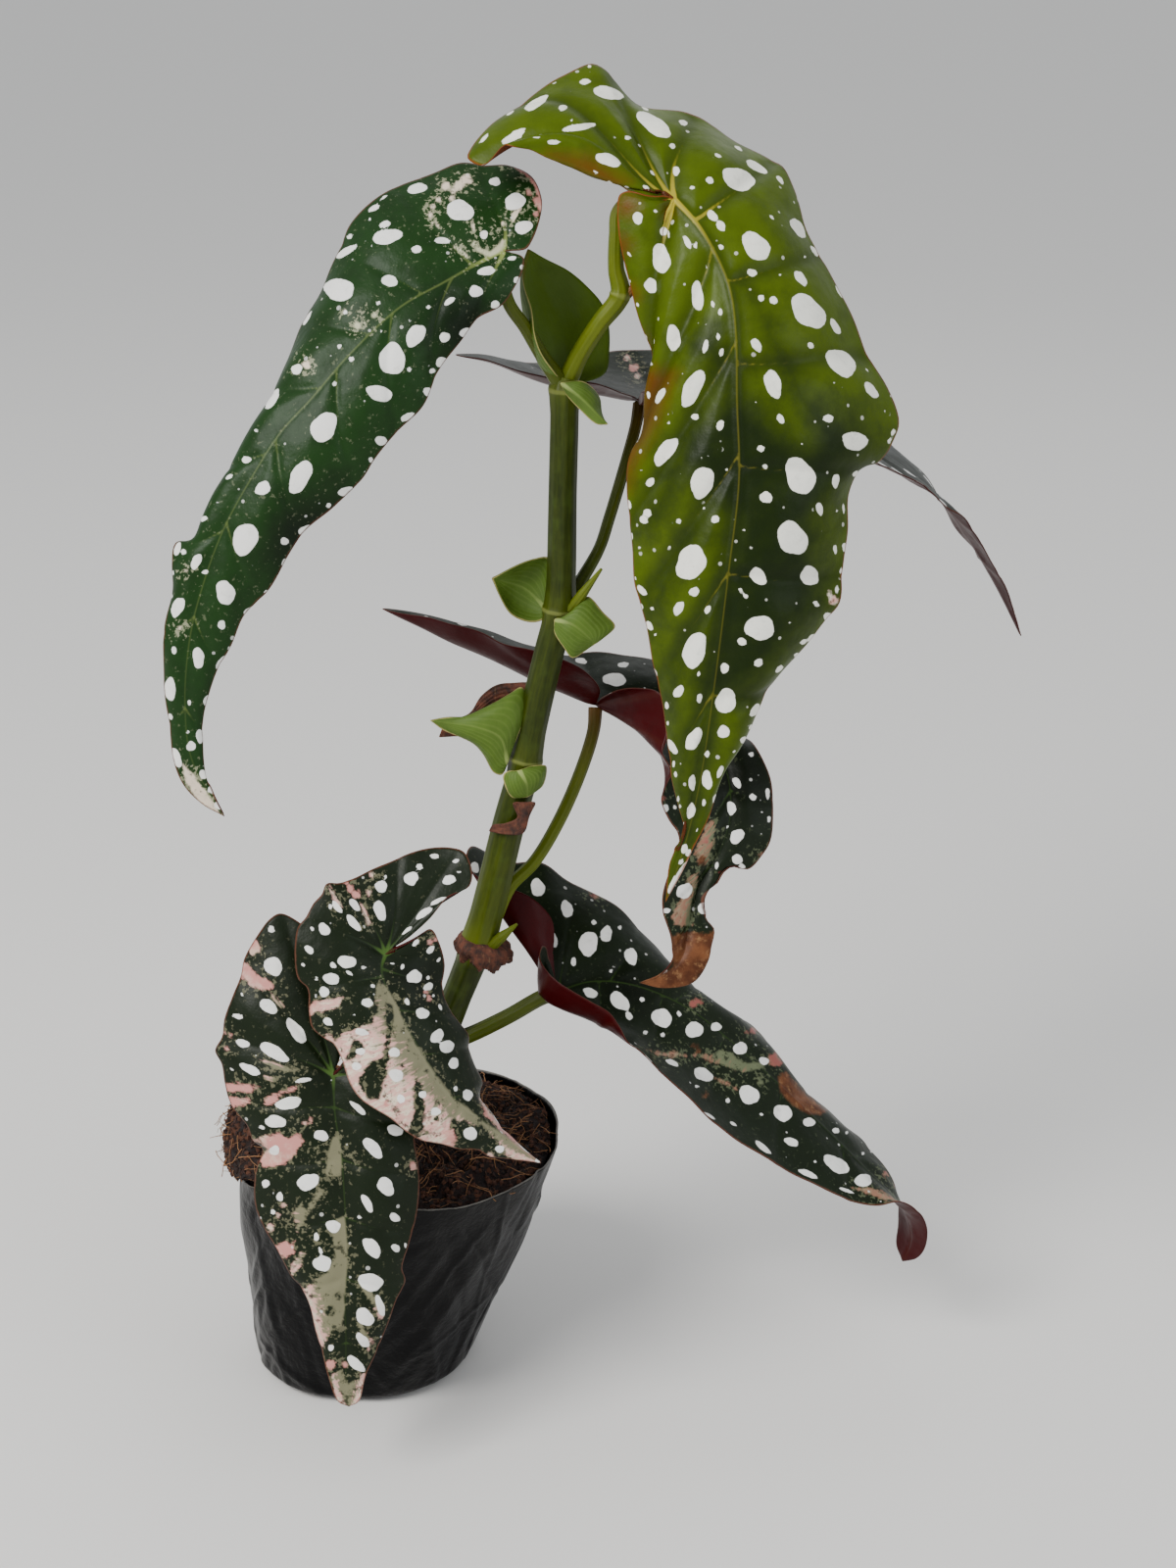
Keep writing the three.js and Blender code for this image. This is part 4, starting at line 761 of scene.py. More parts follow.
# ---------------------------------------------------------------- leaf_left
# An older leaf, dark green and waxy, that hangs out to the left from the top of the cane.
# Its tissue is flecked with cream and pink round the stalk, and its tip has dried pale.
left_leaf = {
    "fan": 0.13, "pace": (1, 1.15), "star": 10,
    "swell": [[0, 2, 3, 3, 1, 0], [0, 2, 3, 3, 1, 0]],
    "midrib": [
        (513, 256, -12), (488, 269, -15), (452, 289, -19), (408, 314, -23), (354, 365, -28),
        (319, 406, -31), (287, 441, -33), (261, 481, -35), (229, 539, -37), (207, 598, -39),
        (194, 651, -41), (189, 718, -42), (196, 775, -42), (229, 833, -40),
    ],
    "left": [
        (536, 254, -12), (543, 245, -10), (551, 222, -5), (553, 200, 0), (542, 180, 4), (519, 169, 7),
        (495, 170, 8), (470, 167, 8), (444, 176, 6), (408, 191, 3), (386, 205, 0), (359, 231, -4),
        (350, 254, -6), (332, 285, -9), (314, 321, -12), (296, 356, -15), (283, 392, -18), (261, 441, -22),
        (234, 486, -26), (207, 531, -30), (196, 552, -32), (180, 553, -33), (176, 575, -34),
        (175, 606, -36), (167, 660, -39), (168, 696, -40), (173, 740, -41), (178, 776, -41),
        (189, 803, -41), (207, 821, -41),
    ],
    "right": [
        (534, 263, -13), (533, 276, -14), (524, 294, -16), (511, 312, -18), (488, 325, -20),
        (470, 348, -22), (448, 379, -25), (430, 414, -27), (408, 437, -29), (381, 468, -31),
        (368, 490, -32), (341, 517, -34), (314, 539, -35), (296, 566, -36), (274, 602, -37),
        (247, 629, -38), (234, 660, -39), (220, 687, -40), (209, 723, -41), (207, 758, -41),
        (208, 785, -41), (219, 815, -41),
    ],
    "left_veins": [0.1, 0.2, 0.29, 0.38, 0.47, 0.57, 0.67, 0.77, 0.87],
    "right_veins": [0.12, 0.24, 0.34, 0.44, 0.55, 0.66, 0.77, 0.87],
    "sweep": 0.16,
    "relief": {"sink": 0.5, "vein": 1.1, "puff": 0.7, "sway": 0.5, "frill": 0.4},
    "spots": [
        (346.5, 296, 17.3, 11.5, 5), (354, 257, 13, 4, 148), (357.5, 241.7, 3.8, 2.7, -15),
        (323.5, 301.5, 3.8, 1.8, -55), (316.5, 315, 2.5, 1, -60), (314, 325.5, 9, 2, -58),
        (353, 319, 2.7, 2.5), (346.5, 353.5, 2.8, 2.6), (359, 366.5, 3.2, 3), (303.5, 377, 6.5, 5, -20),
        (341.5, 391.5, 3, 2.5, 90), (279, 408, 13, 4.2, -57), (425.5, 182.7, 3.5, 1.2),
        (426, 193, 10.3, 5.8, -10), (391.5, 202, 5, 1.5, -35), (382, 213, 6.8, 3.2, -22),
        (377.5, 224.5, 1.5), (393, 229.5, 6.3, 3.5, -22), (395.5, 242, 17, 7.5, -8),
        (379, 252.5, 1.8, 1.2), (425, 255, 5.5, 4.5), (397.5, 287, 9.5, 6, 15), (386, 309.5, 2.8, 2.3),
        (389, 338, 2, 1.5), (469.5, 215.5, 14.5, 11.5, 25), (505, 186, 6.5, 4.5),
        (525.5, 206.5, 12, 8.5, -25), (534, 232.5, 10.5, 6.5, -15), (493.5, 240, 4.5),
        (496.5, 277, 10, 4.5, -12), (522.5, 264, 5, 2.3, -15), (532.5, 273, 2.8, 2.5),
        (527, 286, 3.8, 3.3), (505, 310.5, 5, 4.2, -10), (485, 297.5, 8, 5.7), (459, 307.5, 6.5, 3, -30),
        (437, 313.7, 3, 2), (463.5, 296.5, 1.3, 1), (451.5, 246, 10.5, 3.3, 5), (418.5, 327.5, 1.7, 1.3),
        (424, 342.5, 14, 8.5, -48), (400, 366.5, 16.5, 15, 110), (453.5, 344, 5.8, 5.3),
        (474, 339, 6, 4.7, -20), (450.5, 369.5, 7, 5.5, -20), (417.5, 377, 2.5, 2.3),
        (440.5, 378.5, 3.7, 2.7), (387, 401.5, 14.5, 8.3, 22), (436, 399.5, 4.8, 4.8, -30),
        (415.5, 425, 8.5, 3.5, -25), (388.5, 449.5, 6.4, 5.2), (330.5, 436, 17, 13, 110), (378, 469, 3),
        (262.5, 439.5, 2.5, 2), (252, 469.5, 5, 4.5), (306.5, 486.5, 18.5, 10.5, 118),
        (268.5, 498.5, 8.5, 7, 130), (234.5, 487, 4, 2.3, -20), (352.5, 501, 9.5, 4.5, -12),
        (335, 515.5, 2.8), (311.5, 540.5, 8, 4.8, -25), (250.5, 550, 17, 13.5, 120), (290, 552, 4.8, 4),
        (290.5, 573.5, 5, 3, -55), (209, 529.5, 4.5, 2.5, -20), (222, 513.5, 2, 1.3),
        (181.5, 560.5, 7.5, 3.5, 110), (188, 563.5, 3), (200.5, 573, 9, 4.7, 115), (177, 584, 2.5, 2, 90),
        (209.5, 583.5, 3.8, 2.5), (230, 604.5, 13.5, 9.7, 85), (272.5, 603, 3.5, 1.8, -15),
        (182, 619.5, 12, 5.7, 115), (175.5, 608, 3, 1.8, 90), (257, 622.5, 11, 4, -28), (226, 637.5, 4.5),
        (202.5, 671, 11, 6.2, 88), (234, 661.5, 2.7, 2), (226.5, 675, 10, 4, -50),
        (178, 663.5, 4.5, 2.5, 90), (174, 703, 12, 6.3, 88), (193.5, 716.5, 2.8, 2.3, 90),
        (211, 714, 6.5, 3.7, 110), (174, 731, 3.5, 3, 90), (203.5, 751, 7.5, 4, 90), (195, 761, 5.5, 5),
        (191.5, 746.5, 2.3, 1.7), (207.5, 790, 5, 4.5, 60), (180, 773, 11, 5, 65),
    ],
    "strewn": 40,
    # Painted shade: soft round patches of deeper green.
    "painted_shade": [(330, 560, 60), (470, 330, 40)],
    "cream": [
        (455.5, 191, 4.5), (462, 196, 3), (468, 190, 5), (476, 184, 5), (480, 186, 3), (447, 205, 3),
        (442, 212, 2.5), (440, 220, 2.5), (443, 228, 2.5), (447, 231, 2), (461, 203, 3.5),
        [(463, 252), (466, 251), (480, 263), (479, 265), (470, 260)],
        [(481, 226), (483, 225), (486, 235), (484, 236)],
        [(480, 245), (484, 246), (492, 254), (500, 257), (508, 250), (512, 245), (516, 246), (510, 258),
         (500, 263), (490, 259), (482, 252)],
        [(522, 219), (526, 215), (531, 209), (533, 211), (528, 220), (523, 228)],
        (514, 229, 2.5), (508, 236, 1.8), (365, 332, 4), (373, 330, 2), (382, 322, 3), (352, 318, 2),
        (313, 373, 4), (190, 582, 2), (184, 640, 2),
        [(186, 778), (192, 784), (200, 793), (208, 803), (216, 814), (226, 833), (222, 834), (209, 824),
         (197, 811), (189, 798)],
    ],
    "pink": [
        (549, 206, 5), (552, 212, 4), (547, 219, 3), (549, 190, 3), (544, 183, 3), (539, 196, 3),
        [(519, 168), (535, 172), (546, 182), (553, 197), (551, 215), (549, 200), (540, 182), (528, 174)],
    ],
}
MATURE = {
    "Light green": tint("#131c0d"), "Deep green": tint("#070c04"), "Vein": tint("#3f5a24"),
    "Warm": tint("#401a12"), "Edge": tint("#5e382a"), "Underside": tint("#360204"),
    "Spot": tint("#e2e2de"), "Cream": tint("#d2c3ae"), "Pink": tint("#bd827a"), "Brown": tint("#432414"),
    "Sage": tint("#727058"), "Blush": tint("#c99c92"),
}
mature_skin = blade_material("mature_leaf", MATURE, {"Vein share": 0.35})
left_skin = blade_material("left_leaf", {
    **MATURE, "Light green": tint("#173210"), "Deep green": tint("#081505"), "Vein": tint("#7d8a4a"),
    "Sage": tint("#b3b394"), "Blush": tint("#d9c9b4"),
}, {"Vein share": 0.3, "Flecks": 0.45, "Ragged": 0.4})
left_blade = grow_blade("left_blade", left_leaf, left_skin, 300, 44, seed=21)
seat(left_blade, "leaf_left")


# ---------------------------------------------------------------- leaf_back
# The long leaf behind, seen edge on: its dark spotted upper side shows only along the top,
# and most of what faces the viewer is the wine-red underside.
EVEN_VEINS = [0.28, 0.42, 0.52, 0.62, 0.72, 0.82, 0.9]  # as shares of the midrib, for the broader leaves
back_leaf = {
    "fan": 0.38, "pace": (1.3, 1),
    "swell": [[0, -2, -2, -1, 0, 0], [0, -2, -1, 1, 0, 0]],
    "midrib": [
        (652, 408, 30), (700, 418, 33), (760, 428, 36), (830, 440, 40), (900, 465, 43), (950, 500, 45),
        (985, 545, 46), (1015, 595, 45), (1042, 649, 42),
    ],
    "left": [
        (654, 403, 18), (660, 399, 9), (720, 405, 3), (790, 420, 6), (850, 445, 12), (893, 470, 19),
        (916, 481, 24), (940, 496, 28), (966, 519, 32), (983, 528, 34), (993, 543, 35), (1009, 569, 37),
        (1027, 601, 39),
    ],
    "right": [
        (636, 401, 20), (610, 392, 15), (575, 387, 14), (530, 379, 15), (495, 369, 17), (466, 360, 20),
        (500, 363, 31), (540, 372, 42), (590, 365, 55), (621, 360, 60), (658, 358, 62), (720, 362, 66),
        (790, 385, 70), (860, 420, 70), (911, 454, 66), (928, 470, 63), (946, 488, 61), (962, 512, 59),
        (975, 535, 57), (988, 553, 55), (1013, 586, 51), (1031, 619, 46),
    ],
    "left_veins": EVEN_VEINS,
    "right_veins": EVEN_VEINS,
    "sweep": 0.12,
    "relief": {"sink": 0.5, "vein": 1.1, "puff": 0.5, "sway": 0.4, "frill": 0.3},
    "spots": [],
    "strewn": 160,
    "cream": [(640, 366, 3), (650, 385, 3)],
    "pink": [(560, 380, 4), (646, 376, 4)],
}
back_blade = grow_blade("back_blade", back_leaf, mature_skin, 240, 44, seed=31)
seat(back_blade, "leaf_back")


# ---------------------------------------------------------------- leaf_middle
# The leaf in the middle of the plant, folded along its midrib, with a cream patch, a rolled
# red margin and a tip that has dried brown.
middle_leaf = {
    "fan": 0.42, "pace": (1.25, 1),
    "swell": [[0, 0, -1, 1, 1, 0], [0, -2, 0, 3, 1, 0]],
    "midrib": [
        (608, 719, 22), (640, 730, 24), (678, 738, 23), (715, 752, 17), (740, 785, 8), (745, 830, 0),
        (733, 870, -4), (712, 905, -7), (702, 945, -10), (697, 975, -13), (680, 996, -16),
        (653, 1003, -18),
    ],
    "left": [
        (616, 711, 15), (630, 704, 10), (650, 702, 8), (672, 706, 5), (684, 730, 1), (678, 756, -2),
        (673, 770, -4), (683, 788, -6), (678, 802, -7), (674, 816, -8), (682, 835, -9), (693, 850, -10),
        (695, 864, -11), (686, 882, -12), (676, 910, -13), (676, 930, -14), (685, 958, -15),
        (686, 980, -16), (672, 996, -17),
    ],
    "right": [
        (612, 703, 17), (598, 685, 13), (576, 673, 13), (546, 664, 14), (515, 656, 16), (492, 646, 18),
        (446, 633, 22), (418, 628, 25), (390, 622, 28), (415, 623, 32), (437, 627, 35), (492, 643, 40),
        (520, 652, 42), (546, 660, 43), (578, 669, 45), (598, 665, 46), (621, 664, 46), (645, 668, 46),
        (663, 673, 46), (700, 685, 44), (735, 715, 36), (755, 750, 24), (768, 760, 17), (780, 778, 11),
        (787, 798, 7), (789, 836, 1), (786, 858, -1), (778, 872, -2), (764, 887, -4), (748, 883, -5),
        (738, 888, -6), (732, 900, -7), (720, 908, -8), (717, 922, -9), (721, 938, -10), (729, 948, -11),
        (726, 966, -13), (723, 980, -14), (708, 1002, -15), (676, 1008, -17),
    ],
    "left_veins": EVEN_VEINS,
    "right_veins": EVEN_VEINS,
    "sweep": 0.12,
    "relief": {"sink": 0.5, "vein": 1.0, "puff": 0.5, "sway": 0.4, "frill": 0.4},
    "spots": [
        (627, 694, 13, 7), (593, 675, 7, 3, 10), (636, 679, 6, 3), (434, 631, 5, 2, 10),
        (472, 637, 6, 2, 10), (746, 825, 7.5, 5, 75), (752, 799, 7, 3.5, 60), (768, 813.5, 4.5, 3.5, 40),
        (752, 853.5, 9, 6.5, 120), (752, 876.5, 6, 5), (757, 884, 4, 2.5, 20), (784.5, 836, 3.5, 2.2, 90),
        (766, 770.5, 2.8, 2.6), (783, 810, 5.5, 2.5, 90), (731.5, 883.5, 4.5, 2, 90), (742, 844, 1.8, 1.6),
        (777, 828, 1.5, 1.4), (773, 790, 1.6, 1.4), (678, 825, 4, 4.5), (688, 824, 2.2),
        (698, 909, 10, 7, 135), (680, 929, 3, 4, 90), (681, 784, 3.5, 2.5, 30),
    ],
    "strewn": 60,
    # Painted shade: a soft round patch of deeper green at the fold.
    "painted_shade": [(750, 790, 40)],
    "cream": [
        [(718, 840), (727, 838), (731, 846), (728, 858), (724, 872), (722, 882), (712, 880), (708, 870),
         (714, 858), (718, 848)],
        [(700, 900), (706, 892), (712, 890), (710, 905), (706, 915), (704, 930), (706, 945), (690, 945),
         (684, 935), (690, 925), (696, 915)],
    ],
    "pink": [(720, 858, 3), (777, 872, 3), (675, 815, 3)],
    "brown": [
        [(684, 956), (700, 950), (716, 952), (730, 950), (728, 970), (722, 985), (706, 1004), (680, 1012),
         (650, 1008), (648, 1000), (668, 996), (686, 985)],
        (716, 878, 5), (712, 872, 3),
    ],
}
faded_skin = blade_material("faded_leaf", {
    **MATURE, "Cream": tint("#8a7a62"), "Blush": tint("#8a6552"), "Sage": tint("#5f664c"),
    "Pink": tint("#8f524a"),
}, {"Vein share": 0.35})
middle_blade = grow_blade("middle_blade", middle_leaf, faded_skin, 240, 44, seed=41)
seat(middle_blade, "leaf_middle")


# ---------------------------------------------------------------- leaf_right
# The long leaf that points to the lower right, its upper side turned to the viewer, with a
# cream streak beside the midrib, dry brown margins and a tip curled over to the red side.
right_leaf = {
    "fan": 0.33, "pace": (1.6, 1),
    "swell": [[0, -2, -7, -4, 0, 0], [0, -1, 2, 3, 1, 0]],
    "midrib": [
        (567, 1013, 0), (603, 1002, 5), (648, 1006, 8), (700, 1028, 8), (745, 1062, 7), (800, 1112, 5),
        (850, 1160, 2), (885, 1195, -1), (912, 1222, -3), (928, 1245, -3), (930, 1268, -2), (921, 1287, 0),
    ],
    "left": [
        (561, 990, 0), (556, 968, 0), (551, 966, -5), (549, 976, -8), (553, 987, -11), (567, 1001, -14),
        (585, 1012, -16), (603, 1021, -17), (621, 1033, -18), (633, 1049, -19), (642, 1064, -19),
        (653, 1071, -20), (674, 1092, -20), (701, 1119, -20), (723, 1142, -19), (742, 1155, -19),
        (785, 1184, -17), (808, 1198, -16), (833, 1209, -15), (855, 1220, -14), (871, 1227, -13),
        (895, 1230, -12), (919, 1227, -12), (937, 1236, -11), (946, 1252, -9), (944, 1273, -6),
        (935, 1284, -3),
    ],
    "right": [
        (566, 985, 3), (566, 960, 5), (564, 940, 7), (556, 928, 8), (537, 913, 8), (508, 903, 9),
        (490, 896, 11), (476, 882, 13), (480, 864, 20), (497, 869, 24), (517, 878, 27), (551, 881, 29),
        (576, 897, 30), (608, 913, 29), (640, 935, 28), (667, 962, 27), (685, 985, 26), (701, 1005, 26),
        (726, 1031, 25), (753, 1038, 25), (767, 1048, 24), (781, 1062, 23), (803, 1096, 21),
        (819, 1111, 20), (846, 1134, 18), (862, 1148, 16), (878, 1161, 14), (889, 1175, 11),
        (901, 1189, 8), (912, 1207, 5), (917, 1226, 4), (917, 1240, 5), (917, 1252, 5), (916, 1270, 4),
    ],
    "left_veins": EVEN_VEINS,
    "right_veins": [0.16, 0.25, 0.34, 0.44, 0.54, 0.64, 0.74, 0.84],
    "sweep": 0.1,
    "relief": {"sink": 0.5, "vein": 1.1, "puff": 0.6, "sway": 0.4, "frill": 0.4},
    "spots": [
        (484, 885.5, 6, 5, 60), (513.5, 899, 3.5, 2.5, 80), (548.5, 906, 10.5, 7, 70),
        (578.2, 928, 9.5, 6.3, 80), (564.5, 959, 9, 4.2, 75), (605.5, 941.7, 2.8),
        (618.2, 953.5, 9, 6, 90), (632, 947, 2.7, 1.8, 90), (600, 963.5, 13, 10.5, 90),
        (585, 981.7, 4.5, 3, 85), (643.5, 976.3, 9.7, 6.7, 80), (623, 991, 2), (626, 986.5, 1.2),
        (602, 1013.5, 7.7, 5.3, 20), (632, 1022, 12.5, 8, 35), (641.5, 1037, 5.5, 3.3, 65),
        (655, 1020.3, 3, 2.7), (675, 1039, 11, 10.5, 40), (692.5, 1035, 3.3, 2.3, 50),
        (708, 1051, 9.3, 9, 20), (730.3, 1048, 6.5, 4.3), (755, 1070, 7.3, 7), (658, 1054.5, 2.5),
        (675.7, 1056.5, 2.7, 2.5), (685.5, 1085, 7.3, 2.7, 25), (717, 1096.7, 10.5, 7, 20),
        (710.5, 1109, 2.5, 1.5), (764, 1117.5, 12, 9.3, 25), (742, 1123.7, 2.7),
        (798.3, 1136, 10, 9.3, 40), (825, 1145.5, 6.5, 4.8, 10), (852.5, 1154.3, 3.7, 3.2),
        (807, 1165.7, 8, 4.5, 15), (863.5, 1156.5, 1.8), (778, 1171, 11, 3, 38),
        (747.5, 1147, 4.3, 1.7, 35), (724, 1139, 8, 1.3, 35), (853, 1188.5, 15, 8, 28),
        (824, 1198, 10.5, 3.3, 22), (880.5, 1205, 8.7, 7.3), (863, 1215, 8, 1.8, 20), (879.5, 1177.5, 2),
        (888.5, 1175, 2.3, 2), (831.5, 1186, 2, 1.5), (776, 1137.5, 1.8, 1.5), (779, 1083, 5, 4.3),
    ],
    "strewn": 40,
    # Painted shade: a soft round patch of deeper green near the stalk.
    "painted_shade": [(640, 1010, 30)],
    "cream": [
        [(704, 1077), (712, 1074), (724, 1078), (735, 1072), (746, 1074), (752, 1081), (762, 1085),
         (776, 1084), (780, 1089), (770, 1092), (758, 1094), (745, 1090), (732, 1086), (718, 1080)],
        [(727, 1099), (736, 1101), (745, 1107), (752, 1112), (744, 1109), (734, 1104)],
        (776, 1105, 3), (774, 1100, 2),
        [(868, 1212), (884, 1212), (896, 1215), (906, 1220), (916, 1226), (905, 1226), (890, 1220),
         (876, 1216)],
        [(660, 1072), (675, 1075), (690, 1073), (700, 1078), (688, 1080), (672, 1078)],
    ],
    "pink": [
        (608, 914, 3.5), (604, 911, 2.5), (707, 1025, 4), (712, 1022, 4), (768, 1052, 3.5),
        (762, 1054, 2.5),
        [(784, 1076), (792, 1074), (798, 1085), (793, 1089), (784, 1086)],
        (903, 1199, 3), (914, 1210, 2.5),
    ],
    "brown": [
        (709, 1068, 3), (712, 1073, 3.5), (719, 1118, 2.5),
        [(793, 1100), (797, 1094), (802, 1092), (810, 1104), (822, 1115), (834, 1127), (847, 1133),
         (838, 1138), (825, 1138), (814, 1132), (804, 1124), (795, 1114)],
        [(640, 1076), (652, 1074), (668, 1092), (684, 1106), (700, 1120), (716, 1136), (704, 1134),
         (690, 1126), (672, 1114), (656, 1100)],
    ],
}
right_blade = grow_blade("right_blade", right_leaf, faded_skin, 260, 44, seed=51)
seat(right_blade, "leaf_right")


# ---------------------------------------------------------------- leaf_front
# The leaf that hangs in front of the cane. A broad sector of it grew without any green, so
# it is cream and pink with green islands.
front_leaf = {
    "fan": 0.45, "pace": (1, 1.7),
    "swell": [[0, 1, 2, 3, 2, 0], [0, 0, 1, 2, 1, 0]],
    "midrib": [
        (393, 974, -46), (389, 990, -49), (399, 1019, -52), (417, 1052, -55), (435, 1082, -57),
        (455, 1113, -58), (476, 1131, -58), (501, 1149, -57), (528, 1170, -56), (552, 1187, -54),
    ],
    "left": [
        (415, 957, -45), (436, 940, -44), (458, 916, -42), (478, 906, -40), (482, 892, -38),
        (474, 870, -35), (460, 865, -34), (440, 865, -34), (420, 870, -35), (400, 879, -36),
        (380, 887, -38), (360, 897, -40), (344, 902, -42), (333, 902, -43), (329, 912, -44),
        (320, 922, -45), (312, 936, -47), (304, 946, -48), (301, 964, -50), (301, 980, -51),
        (304, 998, -52), (314, 1010, -53), (315, 1030, -54), (318, 1048, -56), (328, 1058, -57),
        (340, 1066, -58), (348, 1080, -59), (358, 1106, -61), (370, 1122, -62), (399, 1141, -63),
        (417, 1156, -63), (432, 1164, -63), (450, 1167, -62), (468, 1172, -61), (486, 1173, -60),
        (501, 1181, -58), (524, 1183, -57),
    ],
    "right": [
        (418, 962, -45), (439, 948, -43), (447, 960, -42), (453, 983, -42), (450, 1006, -43),
        (453, 1021, -43), (465, 1039, -43), (478, 1056, -43), (478, 1070, -43), (483, 1085, -44),
        (492, 1105, -45), (488, 1121, -46), (501, 1137, -48), (509, 1149, -49), (532, 1172, -52),
    ],
    "left_veins": [0.16, 0.25, 0.34, 0.42, 0.52, 0.62, 0.72, 0.82, 0.9],
    "right_veins": [0.3, 0.5, 0.6, 0.7, 0.8, 0.9],
    "sweep": 0.1,
    "relief": {"sink": 0.5, "vein": 1.0, "puff": 0.6, "sway": 0.4, "frill": 0.4},
    "spots": [
        (443.5, 874, 5, 3.2, 15), (465, 878.5, 4, 2.3, -15), (428, 884.5, 3.7, 3.2, 20),
        (468.5, 890, 2.5, 1.5), (419.5, 896.5, 8, 7.2), (458.5, 898, 7, 5, -12), (447, 919.5, 9, 2.5, -27),
        (433, 932, 10.5, 3.8, -38), (416, 949.5, 6.5, 2.2, -38), (393, 895.3, 2.5, 2, 30),
        (388.7, 905, 7, 6, 40), (387.5, 929, 11, 6.3, 72), (361.5, 923.5, 7.5, 4.2, 50),
        (360.5, 941.5, 11.5, 4, 52), (344, 925.5, 7.5, 3.3, 52), (337, 925.3, 3, 1.8, 60),
        (331, 948.3, 8, 5.2, 52), (318.5, 948, 2.8, 1.8, 60), (315.5, 969, 5.5, 4, 45),
        (309.5, 984, 2.5, 2, 50), (353.5, 981.5, 9.7, 7, 5), (340, 985, 3.8, 2.8, 30),
        (370.7, 987.3, 2.8, 1.8), (356.5, 993, 4, 2, 30), (338.3, 998.7, 8.5, 6.3, 18),
        (323, 998.5, 2.3, 2), (331, 1012, 6, 5, 40), (424, 962, 4.7, 2.3, -55), (439, 969, 5.8, 3, -50),
        (447.5, 979, 3, 1.5, -50), (410.5, 986.5, 3, 2, -60), (400, 983.5, 2.5, 1),
        (422.3, 996.8, 8.7, 7, -30), (436.5, 997.5, 2.2, 1.8, -40), (436.5, 1007, 5.5, 4, -40),
        (380, 1006.3, 2.7, 2), (374.5, 1023.2, 6.2, 4.8), (415, 1022, 4, 2.7, 80), (430.5, 1034, 7.2, 6.2),
        (441.5, 1016, 2, 1.3, -50), (448.7, 1028, 3.5, 2, 70), (361.5, 1036, 1.3),
        (335, 1042.3, 5.5, 4, 45), (445.5, 1057.5, 8, 6.2, -50), (455.3, 1068, 8, 6.7, -35),
        (462.3, 1085.2, 6.3, 5.2, -55), (464.2, 1111, 3, 2.3, -70), (476.5, 1117.7, 6.2, 6, 60),
        (479.5, 1156.5, 7.5, 6.5), (509.5, 1172, 4.7, 4), (322.5, 1016, 2), (402, 1074, 5.5),
        (404, 1097, 7.5, 7), (409, 1121, 4.5), (431, 1117, 4), (444, 1134, 5, 4.5), (369, 1053, 7, 4, 10),
        (368, 1073, 5, 4), (364, 1088, 5, 4.5),
    ],
    "strewn": 30,
    # Painted shade: a soft round patch of deeper green beside the midrib.
    "painted_shade": [(430, 1000, 20)],
    "cream": [
        [(386, 1002), (392, 1005), (398, 1013), (403, 1022), (407, 1031), (414, 1047), (424, 1066),
         (436, 1084), (446, 1098), (457, 1113), (463, 1122), (477, 1130), (487, 1140), (494, 1148),
         (484, 1148), (474, 1143), (468, 1146), (462, 1141), (458, 1150), (461, 1162), (466, 1177),
         (448, 1172), (432, 1168), (425, 1162), (412, 1158), (398, 1145), (384, 1137), (371, 1126),
         (356, 1111), (350, 1098), (345, 1085), (344, 1072), (338, 1064), (345, 1060), (352, 1053),
         (362, 1051), (370, 1046), (381, 1045), (381, 1038), (385, 1030), (383, 1018), (382, 1010)],
        [(486, 1140), (498, 1148), (512, 1156), (525, 1165), (537, 1175), (553, 1187), (540, 1189),
         (527, 1186), (518, 1179), (510, 1168), (500, 1158)],
        [(322, 1024), (331, 1020), (341, 1019), (350, 1017), (346, 1027), (336, 1030), (328, 1033)],
        [(366, 921), (370, 922), (379, 942), (375, 944)],
        (380, 893, 3), (376, 911, 3), (404, 1017, 3),
        [(333, 902), (336, 904), (350, 926), (346, 928)],
        (500, 1178, 4), (530, 1185, 4),
    ],
    "kept": [
        [(393, 1023), (400, 1026), (401, 1040), (399, 1056), (397, 1076), (394, 1097), (390, 1110),
         (387, 1122), (377, 1121), (368, 1110), (366, 1101), (373, 1090), (380, 1083), (390, 1078),
         (393, 1062), (395, 1048), (392, 1038)],
        [(424, 1101), (430, 1106), (431, 1120), (434, 1131), (432, 1150), (427, 1162), (415, 1157),
         (420, 1146), (423, 1133), (421, 1114)],
        [(361, 1060), (368, 1062), (371, 1068), (366, 1075), (357, 1083), (353, 1079), (358, 1070)],
        (411, 1088, 1.6), (417, 1062, 1.2), (435, 1093, 1.8), (413, 1112, 1.2),
        (445, 1097, 1.5), (436, 1155, 2.5), (446, 1142, 2),
    ],
    "pink": [
        [(314, 1037), (315, 1027), (321, 1021), (329, 1021), (324, 1030), (319, 1037)],
        [(330, 1058), (338, 1055), (343, 1064), (348, 1078), (349, 1090), (344, 1084), (338, 1072)],
        (353, 900, 3), (357, 907, 4), (363, 913, 4), (438, 961, 3), (445, 958, 2.5), (434, 1011, 3),
        (437, 1018, 2.5),
        [(452, 1153), (460, 1150), (466, 1160), (462, 1170), (454, 1166)],
        (394, 1127, 2.5), (372, 1112, 3),
        [(487, 1120), (494, 1128), (503, 1139), (514, 1151), (532, 1170), (552, 1187), (528, 1170),
         (508, 1153), (494, 1138)],
    ],
}
front_blade = grow_blade("front_blade", front_leaf, mature_skin, 240, 44, seed=61)
seat(front_blade, "leaf_front")


